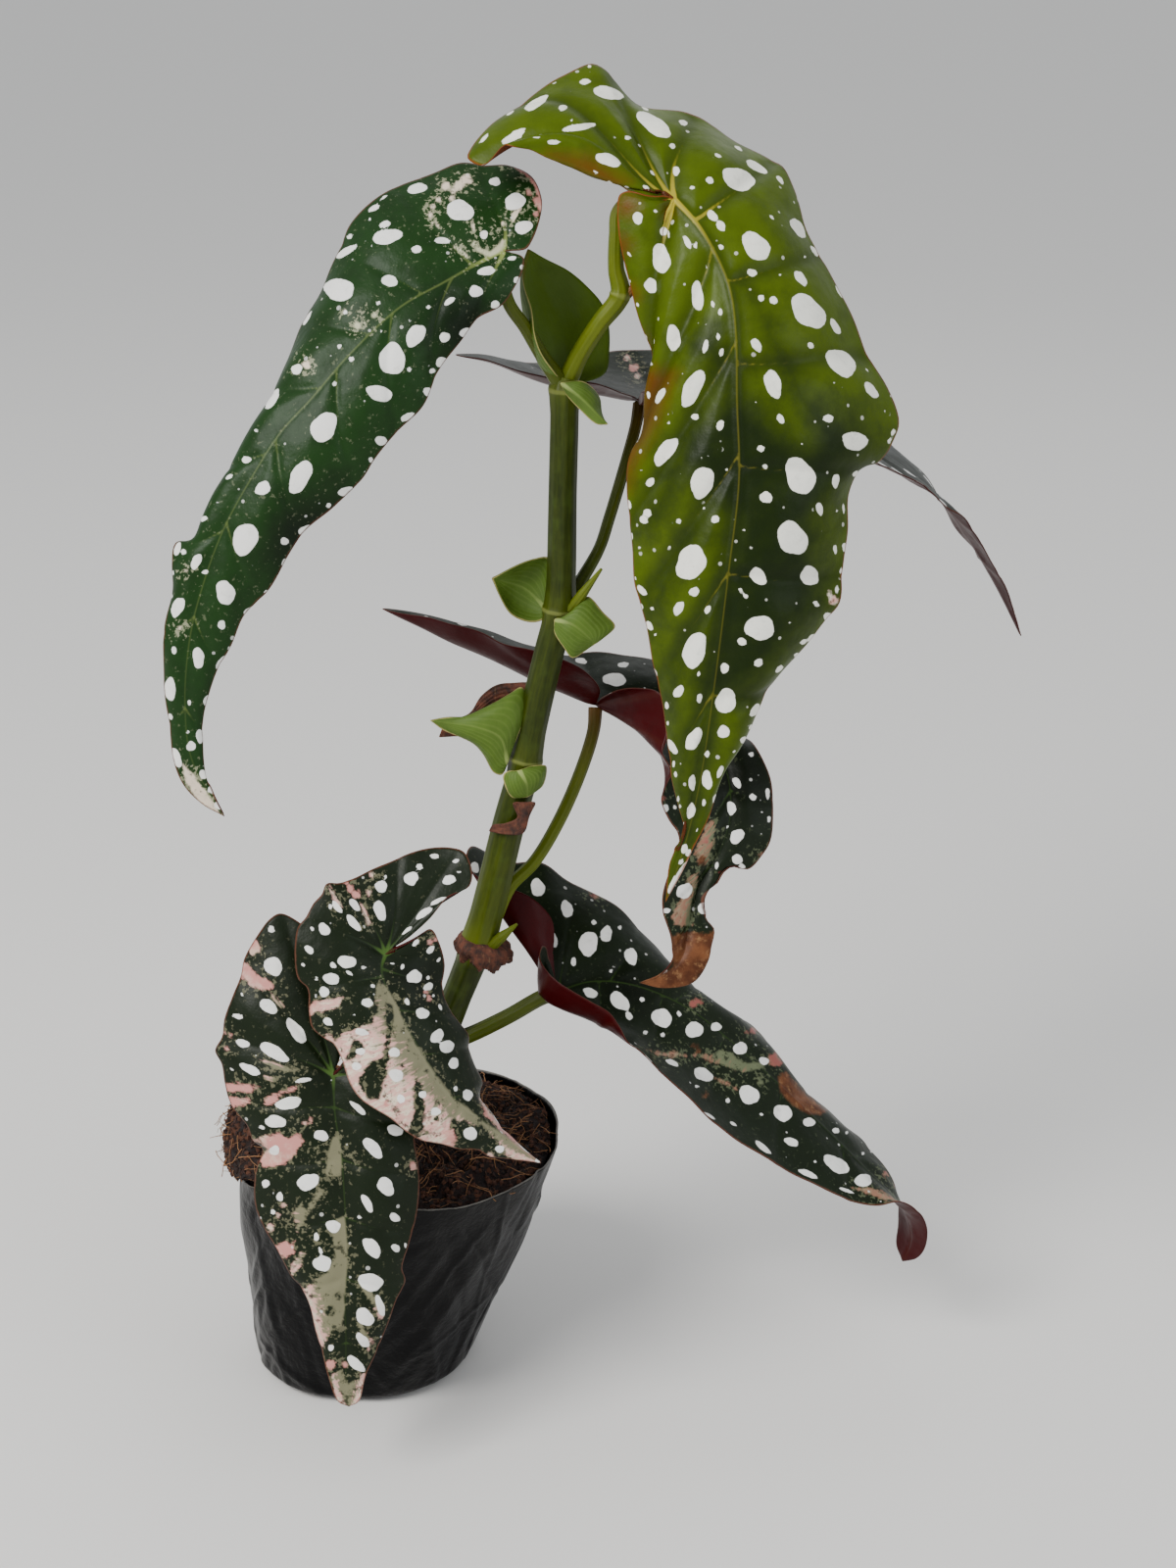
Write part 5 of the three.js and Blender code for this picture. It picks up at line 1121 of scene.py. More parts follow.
# ---------------------------------------------------------------- leaf_low
# The lowest leaf, hanging down over the rim of the bag, with long white spots, pink and
# cream patches along both margins and a pale dry tip.
low_leaf = {
    "fan": 0.42, "pace": (1, 1.7),
    "swell": [[0, 1, 2, 3, 2, 0], [0, 1, 2, 3, 2, 0]],
    "midrib": [
        (340, 1097, -50), (342, 1137, -54), (348, 1175, -57), (351, 1213, -60), (353, 1251, -62),
        (354, 1290, -64), (352, 1328, -66), (353, 1366, -68), (353, 1400, -69), (356, 1435, -70),
    ],
    "left": [
        (347, 1075, -48), (350, 1040, -46), (347, 1000, -42), (332, 965, -38), (308, 943, -35),
        (286, 932, -34), (275, 938, -35), (264, 952, -36), (249, 978, -38), (245, 996, -40),
        (236, 1018, -42), (228, 1040, -43), (226, 1058, -44), (219, 1072, -45), (226, 1086, -46),
        (229, 1106, -47), (235, 1126, -49), (253, 1147, -51), (258, 1162, -52), (268, 1172, -52),
        (261, 1195, -54), (260, 1226, -56), (268, 1249, -58), (281, 1272, -60), (297, 1300, -62),
        (309, 1313, -63), (317, 1330, -64), (322, 1356, -66), (330, 1381, -67), (335, 1404, -69),
        (345, 1430, -70),
    ],
    "right": [
        (354, 1080, -49), (378, 1062, -47), (400, 1064, -47), (416, 1090, -48), (421, 1125, -50),
        (422, 1163, -53), (428, 1200, -55), (424, 1239, -58), (416, 1269, -60), (409, 1293, -61),
        (413, 1307, -61), (404, 1325, -63), (396, 1351, -65), (383, 1384, -67), (373, 1404, -69),
        (366, 1430, -70),
    ],
    "left_veins": [0.2, 0.3, 0.4, 0.5, 0.6, 0.7, 0.8, 0.9],
    "right_veins": [0.25, 0.4, 0.5, 0.6, 0.7, 0.8, 0.9],
    "sweep": 0.12,
    "relief": {"sink": 0.5, "vein": 1.0, "puff": 0.6, "sway": 0.4, "frill": 0.4},
    "spots": [
        (277, 948, 4.2, 4, 40), (279, 986, 11, 9, 60), (274, 1027, 11, 6.5, 40),
        (302.5, 1052, 15.5, 7, 50), (243, 1037, 6, 3, 10), (248, 1064.5, 7.5, 4.7, 15),
        (280, 1073.5, 16.5, 7.5, 32), (255.5, 1091, 11.5, 4.8, 25), (237, 1090.5, 2.5, 1.3, 30),
        (309.5, 1102.3, 10, 2.3, -10), (294.5, 1125.7, 14, 7, -8), (281.5, 1144.3, 12, 6.5, 10),
        (267.5, 1150, 3.8, 2, 20), (327.5, 1158.7, 7.7, 6, 10), (280.5, 1173.5, 6, 5),
        (247.5, 1015, 2.3, 1.8, 30), (365.5, 1130.5, 10.5, 3.2, 38), (402.5, 1153.5, 9, 5.5, 12),
        (380.5, 1171.3, 14.5, 6, 50), (393.3, 1210.5, 11.5, 7.5, 50), (374.7, 1227.5, 11.5, 4, 62),
        (402.5, 1241.8, 6, 4.3, 30), (379.5, 1273, 13, 7, 55), (403.3, 1273.3, 5, 4, 40),
        (413.5, 1270.5, 2.5, 1.5, 90), (378, 1308, 13, 10), (387.5, 1332, 12, 4, 70),
        (372.3, 1343.5, 10.5, 8.5, 50), (370, 1367, 9, 5, 45), (363, 1391, 12, 5, 40),
        (367, 1241.5, 2.5, 2), (271.5, 1207.7, 4.7, 4.3, 90), (314.5, 1206, 12, 8.8, -30),
        (340, 1251, 7.5, 7), (286, 1221, 5, 4, 80), (279, 1236.5, 3), (329, 1289, 9.5, 8.5, -20),
        (323, 1262, 4.5, 2.8, 90), (327, 1276, 4, 2, 80), (338, 1375, 3.5),
    ],
    "strewn": 30,
    # Painted shade: a soft round patch of deeper green.
    "painted_shade": [(330, 1020, 25)],
    "cream": [
        [(339, 1160), (346, 1158), (348, 1170), (349, 1185), (348, 1200), (338, 1201), (331, 1200),
         (333, 1190), (335, 1175)],
        [(326, 1212), (331, 1215), (322, 1228), (314, 1240), (310, 1242), (312, 1234), (320, 1222)],
        [(343, 1243), (352, 1240), (354, 1260), (355, 1280), (354, 1300), (352, 1322), (347, 1316),
         (343, 1305), (336, 1302), (332, 1296), (338, 1290), (342, 1280), (340, 1268), (338, 1258)],
        [(300, 1234), (308, 1228), (313, 1233), (312, 1244), (306, 1256), (302, 1256), (304, 1248),
         (298, 1244)],
        [(296, 1298), (300, 1287), (309, 1277), (312, 1280), (306, 1292), (300, 1302)],
        [(309, 1316), (318, 1310), (325, 1302), (334, 1296), (343, 1300), (350, 1312), (352, 1335),
         (349, 1352), (338, 1358), (333, 1368), (328, 1376), (322, 1356), (315, 1334)],
        [(338, 1402), (348, 1398), (355, 1412), (366, 1408), (369, 1400), (376, 1405), (366, 1437),
         (344, 1437)],
        [(276, 1014), (283, 1018), (290, 1028), (286, 1029), (279, 1022)],
        [(264, 1082), (272, 1081), (285, 1087), (300, 1089), (306, 1092), (300, 1094), (285, 1093),
         (272, 1088)],
        (272, 1100, 3), (279, 1101, 3), (276, 1252, 4), (284, 1240, 2.5), (290, 1230, 3),
        [(365, 1308), (372, 1305), (380, 1318), (388, 1330), (392, 1345), (386, 1345), (380, 1330),
         (371, 1318)],
        [(366, 1345), (371, 1353), (380, 1370), (376, 1378), (368, 1362)],
        (359, 1180, 2), (366, 1186, 1.5), (326, 1186, 1.6), (322, 1172, 2), (323, 1263, 3),
    ],
    "kept": [(337, 1338, 5), (345, 1322, 3.5), (318, 1322, 2)],
    "pink": [
        [(253, 962), (262, 957), (268, 968), (262, 973), (255, 974)],
        [(243, 992), (248, 980), (262, 995), (275, 1000), (283, 1008), (270, 1010), (258, 1008),
         (251, 1000)],
        [(227, 1105), (245, 1105), (258, 1107), (267, 1110), (256, 1114), (244, 1114), (232, 1114)],
        [(232, 1119), (245, 1121), (256, 1120), (256, 1126), (246, 1128), (240, 1129), (238, 1136)],
        [(270, 1122), (280, 1116), (290, 1112), (303, 1107), (300, 1114), (288, 1118), (282, 1126),
         (270, 1127)],
        [(256, 1162), (275, 1159), (285, 1156), (295, 1160), (305, 1157), (309, 1165), (303, 1175),
         (296, 1184), (284, 1190), (268, 1190), (266, 1182), (274, 1172), (266, 1166)],
        (229, 1054, 2.5), (235, 1057, 2), (231, 1071, 2), (421, 1190, 3.5), (311, 1145, 3),
        (317, 1144, 2.5),
        [(280, 1270), (290, 1268), (302, 1266), (300, 1278), (292, 1284), (284, 1280)],
        (338, 1392, 5), (352, 1392, 3),
    ],
}
low_skin = blade_material("low_leaf", MATURE, {"Vein share": 0.35, "Blush from": 0.68})
low_blade = grow_blade("low_blade", low_leaf, low_skin, 260, 44, seed=71)
seat(low_blade, "leaf_low")


# ---------------------------------------------------------------- stipules
# Small boat-shaped sheaths that once wrapped each bud. They sit on the nodes of the cane and
# have fine ridges from base to point and a pale, dry margin.
STIPULE_MM = 0.45
STIPULE_ROWS = 90
STIPULE_COLUMNS = 22
PLAIN = {"fan": 0, "pace": (1, 1), "left_veins": [], "right_veins": [], "sweep": 0, "spots": [], "strewn": 0}
STIPULE_RELIEF = {"sink": 0.1, "vein": 0.8, "puff": 0, "sway": 0.2, "frill": 0.3, "ridges": (6, 0.055)}
STIPULES = {
    "bud_sheath": {
        "swell": [[0, 0.5, 0.5, 0], [0, 3, 3, 0]],
        "midrib": [
            (578, 389, 3), (556, 380, 0), (543, 355, -1), (535, 325, 1), (532, 295, 3), (534, 270, 4),
            (539, 254, 4),
        ],
        "left": [
            (566, 381, -5), (552, 362, -8), (544, 340, -9), (541, 315, -7), (535, 293, -4), (534, 272, 1),
        ],
        "right": [
            (600, 389, 7), (618, 380, 9), (622, 355, 10), (621, 330, 10), (615, 311, 10), (600, 293, 10),
            (580, 276, 9), (557, 264, 7),
        ],
    },
    "stipule_top": {
        "swell": [(0, 0, 0), (0, 1, 0)],
        "midrib": [(572, 391, -5), (590, 404, -7), (605, 418, -8), (620, 433, -8)],
        "left": [(578, 402, -4), (594, 419, -5), (610, 433, -7)],
        "right": [(594, 389, -4), (606, 397, -2), (613, 408, -1), (614, 421, -3), (617, 430, -6)],
    },
    "stipule_mid_left": {
        "swell": [(0, -2, 0), (0, -2, 0)],
        "midrib": [(558, 622, 3), (535, 600, 5), (502, 590, 1)],
        "left": [(562, 600, 3), (560, 570, 2), (545, 571, 1), (525, 578, 0)],
        "right": [(553, 632, 1), (540, 634, 0), (522, 626, -1), (510, 608, -1)],
    },
    "stipule_mid_right": {
        "swell": [(0, 1, 0), (0, 1, 0)],
        "midrib": [(566, 632, -5), (585, 638, -7), (600, 650, -7), (607, 657, -6)],
        "left": [(566, 645, -5), (575, 660, -6), (584, 671, -6), (596, 665, -6)],
        "right": [
            (578, 629, -5), (592, 618, -4), (600, 609, -3), (615, 624, -4), (628, 639, -5), (618, 650, -6),
        ],
    },
    "stipule_beak": {
        "swell": [(0, 1.5, 0), (0, 1, 0)],
        "midrib": [(518, 778, -4), (510, 752, -6), (488, 742, -6), (462, 738, -4), (439, 735, -2)],
        "left": [
            (527, 750, -3), (537, 708, 0), (532, 701, 0), (519, 709, -1), (495, 723, -2), (478, 731, -3),
            (456, 732, -3),
        ],
        "right": [
            (512, 790, -3), (504, 788, -3), (492, 770, -3), (483, 760, -3), (468, 751, -3), (450, 742, -2),
        ],
    },
    "stipule_ruffle": {
        "swell": [(0, 1, 0), (0, 1, 0)],
        "midrib": [(530, 786, -6), (537, 800, -7), (538, 813, -6)],
        "left": [(515, 790, -5), (517, 805, -6), (523, 814, -6)],
        "right": [(547, 781, -4), (558, 782, -2), (554, 800, -3), (546, 808, -5)],
    },
}


def sheath(name, shape, relief, material, seed):
    """A small plain blade in the place of its solid."""
    piece = grow_blade(name + "_blade", {**PLAIN, "relief": relief, **shape}, material,
                       STIPULE_ROWS, STIPULE_COLUMNS, seed, thickness=STIPULE_MM)
    seat(piece, name)


stipule_skin = blade_material("stipule", {
    "Light green": tint("#4e6624"), "Deep green": tint("#24350c"), "Vein": tint("#8a9a56"),
    "Edge": tint("#a89a62"), "Underside": tint("#4a601a"), "Warm": tint("#6a4318"),
}, {"Dots": 0.0, "Vein share": 0.3, "Flecks": 0.0, "Wax": 0.1, "Stripes": 0.08})
for number, (stipule_name, stipule) in enumerate(STIPULES.items()):
    sheath(stipule_name, stipule, STIPULE_RELIEF, stipule_skin, seed=81 + number)


# ---------------------------------------------------------------- husks
# What is left of two older sheaths: brown, papery and torn at the margin. Each is still held
# by the node of the cane that it once wrapped.
HUSK_RELIEF = {"sink": 0, "vein": 0.8, "puff": 0, "sway": 0.5, "frill": 0.8, "ridges": (6, 0.12)}
HUSKS = {
    "husk_beak": {
        "swell": [(0, 1, 0), (0, 1, 0)],
        "midrib": [(541, 720, 4), (505, 722, 6), (475, 740, 5), (448, 752, 3)],
        "left": [(542, 699, 4), (520, 697, 5), (507, 699, 5), (492, 710, 5), (477, 728, 5), (455, 738, 4)],
        "right": [(524, 742, 5), (490, 755, 5), (468, 752, 4)],
    },
    "husk_ruffle": {
        "swell": [(0, 0, 0), (0, 0, 0)],
        "midrib": [(535, 819, -6), (534, 835, -6), (522, 845, -6), (499, 848, -5)],
        "left": [(524, 819, -6), (528, 834, -6), (516, 840, -6), (503, 842, -5)],
        "right": [(546, 819, -5), (541, 832, -5), (534, 850, -6), (515, 851, -6)],
    },
}
husk_skin, husk_tree, husk_shader = new_material("husk")
husk_place = here(husk_tree)
husk_grain = node(husk_tree, "ShaderNodeMapping", {"Vector": husk_place, "Scale": (1400, 1400, 160)})
husk_fibre = cloud(husk_grain.outputs["Vector"], 1.0, 3.0)
husk_blotch = eased(cloud(husk_place, 420, 5.0, 0.65), 0.3, 0.7)
husk_tone = mixed(husk_blotch, tint("#210f08"), tint("#643420"))
husk_tone = mixed(eased(husk_fibre, 0.55, 0.8, 0, 0.4), husk_tone, tint("#96704c"))
fill(husk_shader, {"Base Color": husk_tone, "Normal": bumped(husk_fibre, 0.5, 0.0002), "Roughness": 0.8})
for number, (husk_name, husk) in enumerate(HUSKS.items()):
    sheath(husk_name, husk, HUSK_RELIEF, husk_skin, seed=91 + number)


# ---------------------------------------------------------------- husk_frill
# The papery collar left round the lowest leafy node, drooping and torn at its edge. It is
# an upper and a lower layer of rings, closed round both edges.
FRILL = {"at": (35, 0.5, 127), "lean": 0.2, "inner": 4.7, "spread": 3.2, "drop": 5.6, "ruffle": 1.1}
FRILL_SIDES = 240
FRILL_RINGS = 12
FRILL_MM = 0.45


def ring_faces(rings, sides, closed=False):
    """Faces between rings of points, turned outward for rings that climb anticlockwise."""
    faces = []
    for i in range(rings if closed else rings - 1):
        low, high = i * sides, (i + 1) % rings * sides
        for k in range(sides):
            turn = (k + 1) % sides
            faces.append((low + k, low + turn, high + turn, high + k))
    return faces


frill_turns = np.linspace(0, 2 * math.pi, FRILL_SIDES, endpoint=False)
frill_out = np.linspace(0, 1, FRILL_RINGS)[:, None]
frill_way = np.stack([np.cos(frill_turns), np.sin(frill_turns)], axis=1)[None]
frill_way = frill_way * (0.5 + frill_out[:, :, None])
frill_torn = ripple(frill_way, 1.1, 95) + 0.5 * ripple(frill_way, 0.4, 96)
frill_torn = frill_torn + 0.25 * ripple(frill_way, 0.15, 97)
frill_flare = FRILL["spread"] * np.sin(2.3 * frill_out) * (1 + 0.25 * np.cos(frill_turns))
frill_radius = FRILL["inner"] + frill_flare + frill_out * frill_torn
frill_x = frill_radius * np.cos(frill_turns)
frill_y = frill_radius * np.sin(frill_turns)
frill_sag = FRILL["ruffle"] * frill_out * np.roll(frill_torn, 40, axis=1)
frill_sag = -FRILL["drop"] * frill_out ** 1.3 + frill_sag - FRILL["lean"] * frill_x
frill_top = np.stack([frill_x, frill_y, frill_sag], axis=2) + FRILL["at"]
frill_rings = np.vstack([frill_top, frill_top[::-1] - (0, 0, FRILL_MM)]) / 1000
frill_faces = [face[::-1] for face in ring_faces(2 * FRILL_RINGS, FRILL_SIDES, closed=True)]
frill = new_object("frill", frill_rings.reshape(-1, 3).tolist(), frill_faces, husk_skin)
seat(frill, "husk_frill")


# ---------------------------------------------------------------- cane
# The jointed stem, faintly ribbed, with a pale scar ring at each node, and the leaf stalks
# and small side buds that grow out of it. A station is x, y, z and radius in millimetres,
# then how young and how red the skin is there.
CANE = [
    (9, 0, 44, 4.0, 0.1, 0), (12.5, 0, 68, 4.1, 0.1, 0), (18, 0, 84.5, 4.0, 0.15, 0),
    (23, 0, 96, 4.3, 0.2, 0), (28.5, 0, 110, 4.0, 0.2, 0), (32, 0, 119, 4.2, 0.2, 0),
    (34, 0, 124.5, 5.0, 0.85, 0), (36.5, 0, 133, 4.5, 0.45, 0), (43, 0, 160, 4.3, 0.25, 0),
    (46.5, 0, 173, 4.2, 0.22, 0), (47.5, 0, 178, 4.5, 0.35, 0), (49, 0, 186, 4.0, 0.22, 0),
    (54, 0, 208, 3.9, 0.22, 0), (56, 0, 215.5, 4.0, 0.3, 0), (56.5, 0, 219, 4.3, 0.4, 0),
    (57, 0, 226, 3.8, 0.22, 0), (57.5, 0, 250, 3.6, 0.2, 0), (58, 0, 270, 3.6, 0.25, 0),
    (58, 0, 277, 3.9, 0.5, 0), (58.5, 0, 280, 3.0, 0.6, 0),
]
STALKS = {
    "crown_stalk": [
        (58.5, 0, 278, 2.6, 0.8, 0), (62, 0, 285.5, 2.3, 0.9, 0), (67, -1, 293.5, 2.3, 1, 0),
        (72, -1, 300.5, 2.5, 1, 0), (71, 0, 307, 2, 0.9, 0), (71, 1, 315, 1.8, 0.8, 0),
        (71.5, 2, 320.5, 1.7, 0.9, 0.3), (75.5, 1, 324, 1.7, 1, 0.5), (80, -3, 324.5, 1.7, 1, 0.2),
        (84.6, -8.2, 324.4, 1.6, 1, 0),
    ],
    "left_stalk": [
        (58, 0, 277, 2.4, 0.5, 0), (53, -3, 285, 1.8, 0.5, 0), (48.5, -7, 293.5, 1.6, 0.5, 0),
        (44.5, -9, 300, 1.6, 0.5, 0.1), (43, -9, 307, 1.6, 0.5, 0.2), (43.5, -10, 312.5, 1.6, 0.6, 0.3),
    ],
    "back_stalk": [
        (58, 2, 219, 2.2, 0.4, 0), (62.5, 6, 225.5, 1.7, 0.4, 0), (67, 9, 233, 1.5, 0.4, 0.1),
        (69.5, 12, 240, 1.5, 0.4, 0.2), (74, 18, 254, 1.5, 0.4, 0.3), (76.5, 24, 262, 1.5, 0.4, 0.5),
        (77.5, 29, 266.5, 1.7, 0.4, 0.6),
    ],
    "middle_stalk": [
        (34.5, 0, 125.5, 2.4, 0.9, 0), (38.5, 2, 131, 2, 1, 0), (43, 4, 140, 1.75, 1, 0.1),
        (49.5, 7, 146, 1.7, 1, 0.15), (56, 11, 156, 1.7, 0.9, 0.2), (62, 15, 169, 1.7, 0.8, 0.3),
        (65.5, 19, 179.5, 1.7, 0.5, 0.5), (66, 21.5, 185, 1.9, 0.5, 0.7),
    ],
    "right_stalk": [
        (23, 1, 94, 2.6, 0.3, 0), (27, 0, 96, 2.3, 0.4, 0.1), (32, 0, 98, 2.2, 0.5, 0),
        (42.5, -1, 104, 2.1, 0.5, 0), (50.5, -1, 109, 2.1, 0.5, 0.1), (54.5, 0, 110.5, 2.2, 0.6, 0.3),
    ],
    "front_stalk": [
        (17.5, -1, 84, 2.4, 0.3, 0), (16.5, -12, 99.5, 1.8, 0.4, 0), (14.5, -26, 117.5, 1.8, 0.4, 0),
        (13, -39, 134.5, 1.8, 0.4, 0), (12.5, -45, 141, 1.8, 0.4, 0),
    ],
    "low_stalk": [
        (15.5, -2, 77, 2.4, 0.3, 0), (10, -18, 89, 1.8, 0.3, 0), (4, -36, 101.5, 1.8, 0.3, 0),
        (-0.9, -49.3, 109.5, 1.8, 0.3, 0),
    ],
    "upper_bud": [
        (59.5, -2.5, 219.5, 1.5, 0.6, 0), (62.5, -3.5, 224, 1.3, 0.8, 0), (67.5, -4, 231, 0.3, 1, 0),
    ],
    "lower_bud": [
        (37, -3, 124.5, 1.6, 0.6, 0), (41, -4.5, 129, 1.4, 0.8, 0), (45, -5.5, 133, 0.3, 1, 0),
    ],
    "stalk_bud": [
        (72.5, -1, 299.5, 1.3, 0.8, 0.6), (75, -1.5, 302, 1.1, 0.9, 0.9), (76.5, -1.5, 304, 0.3, 1, 1),
    ],
}
NODES = np.array([
    (18, 0, 84.5), (23, 0, 95.5), (34, 0, 124.5), (47.5, 0, 178), (56.5, 0, 219), (58, 0, 276.5),
    (72, -1, 300.5),
])
CANE_RIBS = 9
RIB_MM = 0.07
RIB_TWIST = 0.02
RING_MM = 0.22
RING_SPREAD_MM = 0.9
GRAIN_ROUND = 4  # how fine the streaks of the skin are round a stem
GRAIN_ALONG = 0.12  # and along it, for each millimetre

cane_skin, cane_tree, cane_shader = new_material("cane_skin")
cane_grain = node(cane_tree, "ShaderNodeAttribute", attribute_name="grain").outputs["Vector"]
cane_streaks = cloud(cane_grain, 1.0, 4.0, 0.6)
cane_mottle = cloud(here(cane_tree), 260, 3.0)
cane_young = plus(value_of(cane_tree, "young"), scaled(cane_streaks, 0.5, -0.25))
cane_red = plus(value_of(cane_tree, "red"), scaled(cane_streaks, 0.4, -0.2))
cane_scar = eased(value_of(cane_tree, "ring"), 0.5, 0.95, 0, 0.35)
cane_tone = mixed(eased(cane_young, -0.1, 1.05), tint("#0f1b03"), tint("#5a6512"))
cane_tone = mixed(eased(cane_mottle, 0.45, 0.8, 0, 0.3), cane_tone, tint("#41541a"))
cane_tone = mixed(eased(cane_red, 0.15, 1, 0, 0.85), cane_tone, tint("#6a3a22"))
cane_tone = mixed(cane_scar, cane_tone, tint("#8d9450"))
fill(cane_shader, {"Base Color": cane_tone, "Normal": bumped(cane_streaks, 0.3, 0.0002),
                   "Roughness": 0.4, "Specular IOR Level": 0.16})


def tube_faces(rings, sides):
    """Faces of a closed tube of rings that climb anticlockwise, with a point at each end."""
    count = rings * sides
    faces = ring_faces(rings, sides)
    for k in range(sides):
        turn = (k + 1) % sides
        faces.append((count, turn, k))
        faces.append((count + 1, count - sides + k, count - sides + turn))
    return faces


def grow_stem(name, stations, sides, steps):
    """A closed ribbed stem through its stations, swollen a little at each scar ring."""
    stations = np.asarray(stations, float)
    share = np.linspace(0, 1, steps + 1)
    centre = curve_through(stations[:, :3])(share)
    spot = share * (len(stations) - 1)
    radius, young, red = (np.interp(spot, np.arange(len(stations)), stations[:, k]) for k in (3, 4, 5))
    along = np.gradient(centre, axis=0)
    along /= np.linalg.norm(along, axis=1)[:, None]
    length = np.concatenate([[0], np.cumsum(np.linalg.norm(np.diff(centre, axis=0), axis=1))])
    near = np.linalg.norm(centre[:, None] - NODES[None], axis=2).min(axis=1)
    ring = np.exp(-(near / RING_SPREAD_MM) ** 2)
    turns = np.linspace(0, 2 * math.pi, sides, endpoint=False)
    level, upright = np.cos(turns)[:, None], np.sin(turns)[:, None]
    across = np.array([0, 1.0, 0])
    rows = []
    grains = []
    for i in range(steps + 1):
        side = np.cross(along[i], across)
        side /= np.linalg.norm(side)
        across = np.cross(side, along[i])
        ribs = RIB_MM * np.sin(CANE_RIBS * turns + RIB_TWIST * length[i])
        out = radius[i] + RING_MM * ring[i] + ribs
        rows.append(centre[i] + out[:, None] * (level * side + upright * across))
        grains.append(np.hstack([GRAIN_ROUND * level, GRAIN_ROUND * upright,
                                 np.full((sides, 1), GRAIN_ALONG * length[i])]))
    vertices = np.vstack(rows + [centre[:1], centre[-1:]]) / 1000
    faces = [face[::-1] for face in tube_faces(steps + 1, sides)]
    stem = new_object(name, vertices.tolist(), faces, cane_skin)
    for label, values in (("young", young), ("red", red), ("ring", ring)):
        set_values(stem.data, label, np.concatenate([np.repeat(values, sides), values[[0, -1]]]))
    grain = np.vstack(grains + [grains[0][:1], grains[-1][:1]])
    stem.data.attributes.new("grain", "FLOAT_VECTOR", "POINT").data.foreach_set("vector", grain.ravel())
    seat(stem, "cane")


grow_stem("cane_stem", CANE, 96, 420)
for stalk_name, stalk in STALKS.items():
    grow_stem(stalk_name, stalk, 48, 120)


# ---------------------------------------------------------------- grow_bag
# A soft nursery bag of thin black film, creased all over and slumped to one side, with an
# open rim that sags on the left. It stands on its flat folded underside.
BAG_HEIGHT = 68.0
BAG_BASE = 30.5
BAG_RIM = 46.0
BAG_SHIFT = 10.0
BAG_PINCH = 3.5
BAG_FOOT = 3.5
FOOT_HEIGHT = 3
FOOT_LEVELS = [0, 0.3, 0.8, 1.5, 2.2]
RIM_FROM = 56  # the height from which the wall follows the wave of the rim
FILM_MM = 0.5
BAG_SIDES = 420
BAG_ROWS = 90
CREASES = 150
CREASE_LIMIT = 0.6


def bag_radius(height, angle):
    """Outer radius of the bag at a height and a turn round it, with its soft folds."""
    rise = height / BAG_HEIGHT
    taper = BAG_BASE + (BAG_RIM - BAG_BASE) * rise ** 0.9
    folds = np.sin(5 * angle + 4 * rise) + 0.6 * np.sin(9 * angle - 7 * rise + 1)
    pinch = BAG_PINCH * rise * np.maximum(0, -np.cos(angle)) ** 2
    return taper - pinch + 0.9 * folds * (0.3 + 0.7 * np.sin(math.pi * np.minimum(1, rise)))


def rim_wave(angle):
    """How far the rim stands above or below its middle height."""
    return -6 * np.maximum(0, -np.cos(angle)) ** 2 + 1.2 * np.sin(3 * angle + 0.6) + 0.6 * np.sin(7 * angle)


def creases(height, angle, count, seed):
    """Sharp little folds of crumpled film, as a depth in millimetres."""
    rng = np.random.default_rng(seed)
    total = np.zeros(np.broadcast(height, angle).shape)
    for _ in range(count):
        at_angle, at_height = rng.uniform(0, 2 * math.pi), rng.uniform(0, BAG_HEIGHT)
        lean = rng.normal(0, 0.5)
        reach = rng.uniform(8, 30)
        width = rng.uniform(1.2, 4)
        away = ((angle - at_angle + math.pi) % (2 * math.pi) - math.pi) * 40
        u = away * math.cos(lean) - (height - at_height) * math.sin(lean)
        w = away * math.sin(lean) + (height - at_height) * math.cos(lean)
        tent = np.maximum(0, 1 - np.abs(u) / width) * np.maximum(0, 1 - (w / reach) ** 2)
        total += rng.choice([-1, 1]) * rng.uniform(0.2, 0.7) * tent
    return total


bag_turns = np.linspace(0, 2 * math.pi, BAG_SIDES, endpoint=False)[None]
bag_levels = np.concatenate([FOOT_LEVELS, np.linspace(FOOT_HEIGHT, BAG_HEIGHT, BAG_ROWS)])[:, None]
bag_foot = BAG_FOOT * np.clip(1 - bag_levels / FOOT_HEIGHT, 0, 1) ** 2
bag_crumple = creases(bag_levels, bag_turns, CREASES, seed=101) * np.clip(bag_levels / 6, 0, 1)
bag_crumple = np.minimum(bag_crumple, CREASE_LIMIT)
bag_lift = rim_wave(bag_turns) * np.clip((bag_levels - RIM_FROM) / (BAG_HEIGHT - RIM_FROM), 0, 1)


def bag_ring(inset):
    """The wall's places, moved inward by an inset in millimetres."""
    radius = bag_radius(bag_levels, bag_turns) - bag_foot + bag_crumple - inset
    shift = BAG_SHIFT * bag_levels / BAG_HEIGHT
    level = bag_levels + bag_lift + np.where(bag_levels < FOOT_HEIGHT, inset, 0)
    return np.stack([shift + radius * np.cos(bag_turns), radius * np.sin(bag_turns), level], axis=2)


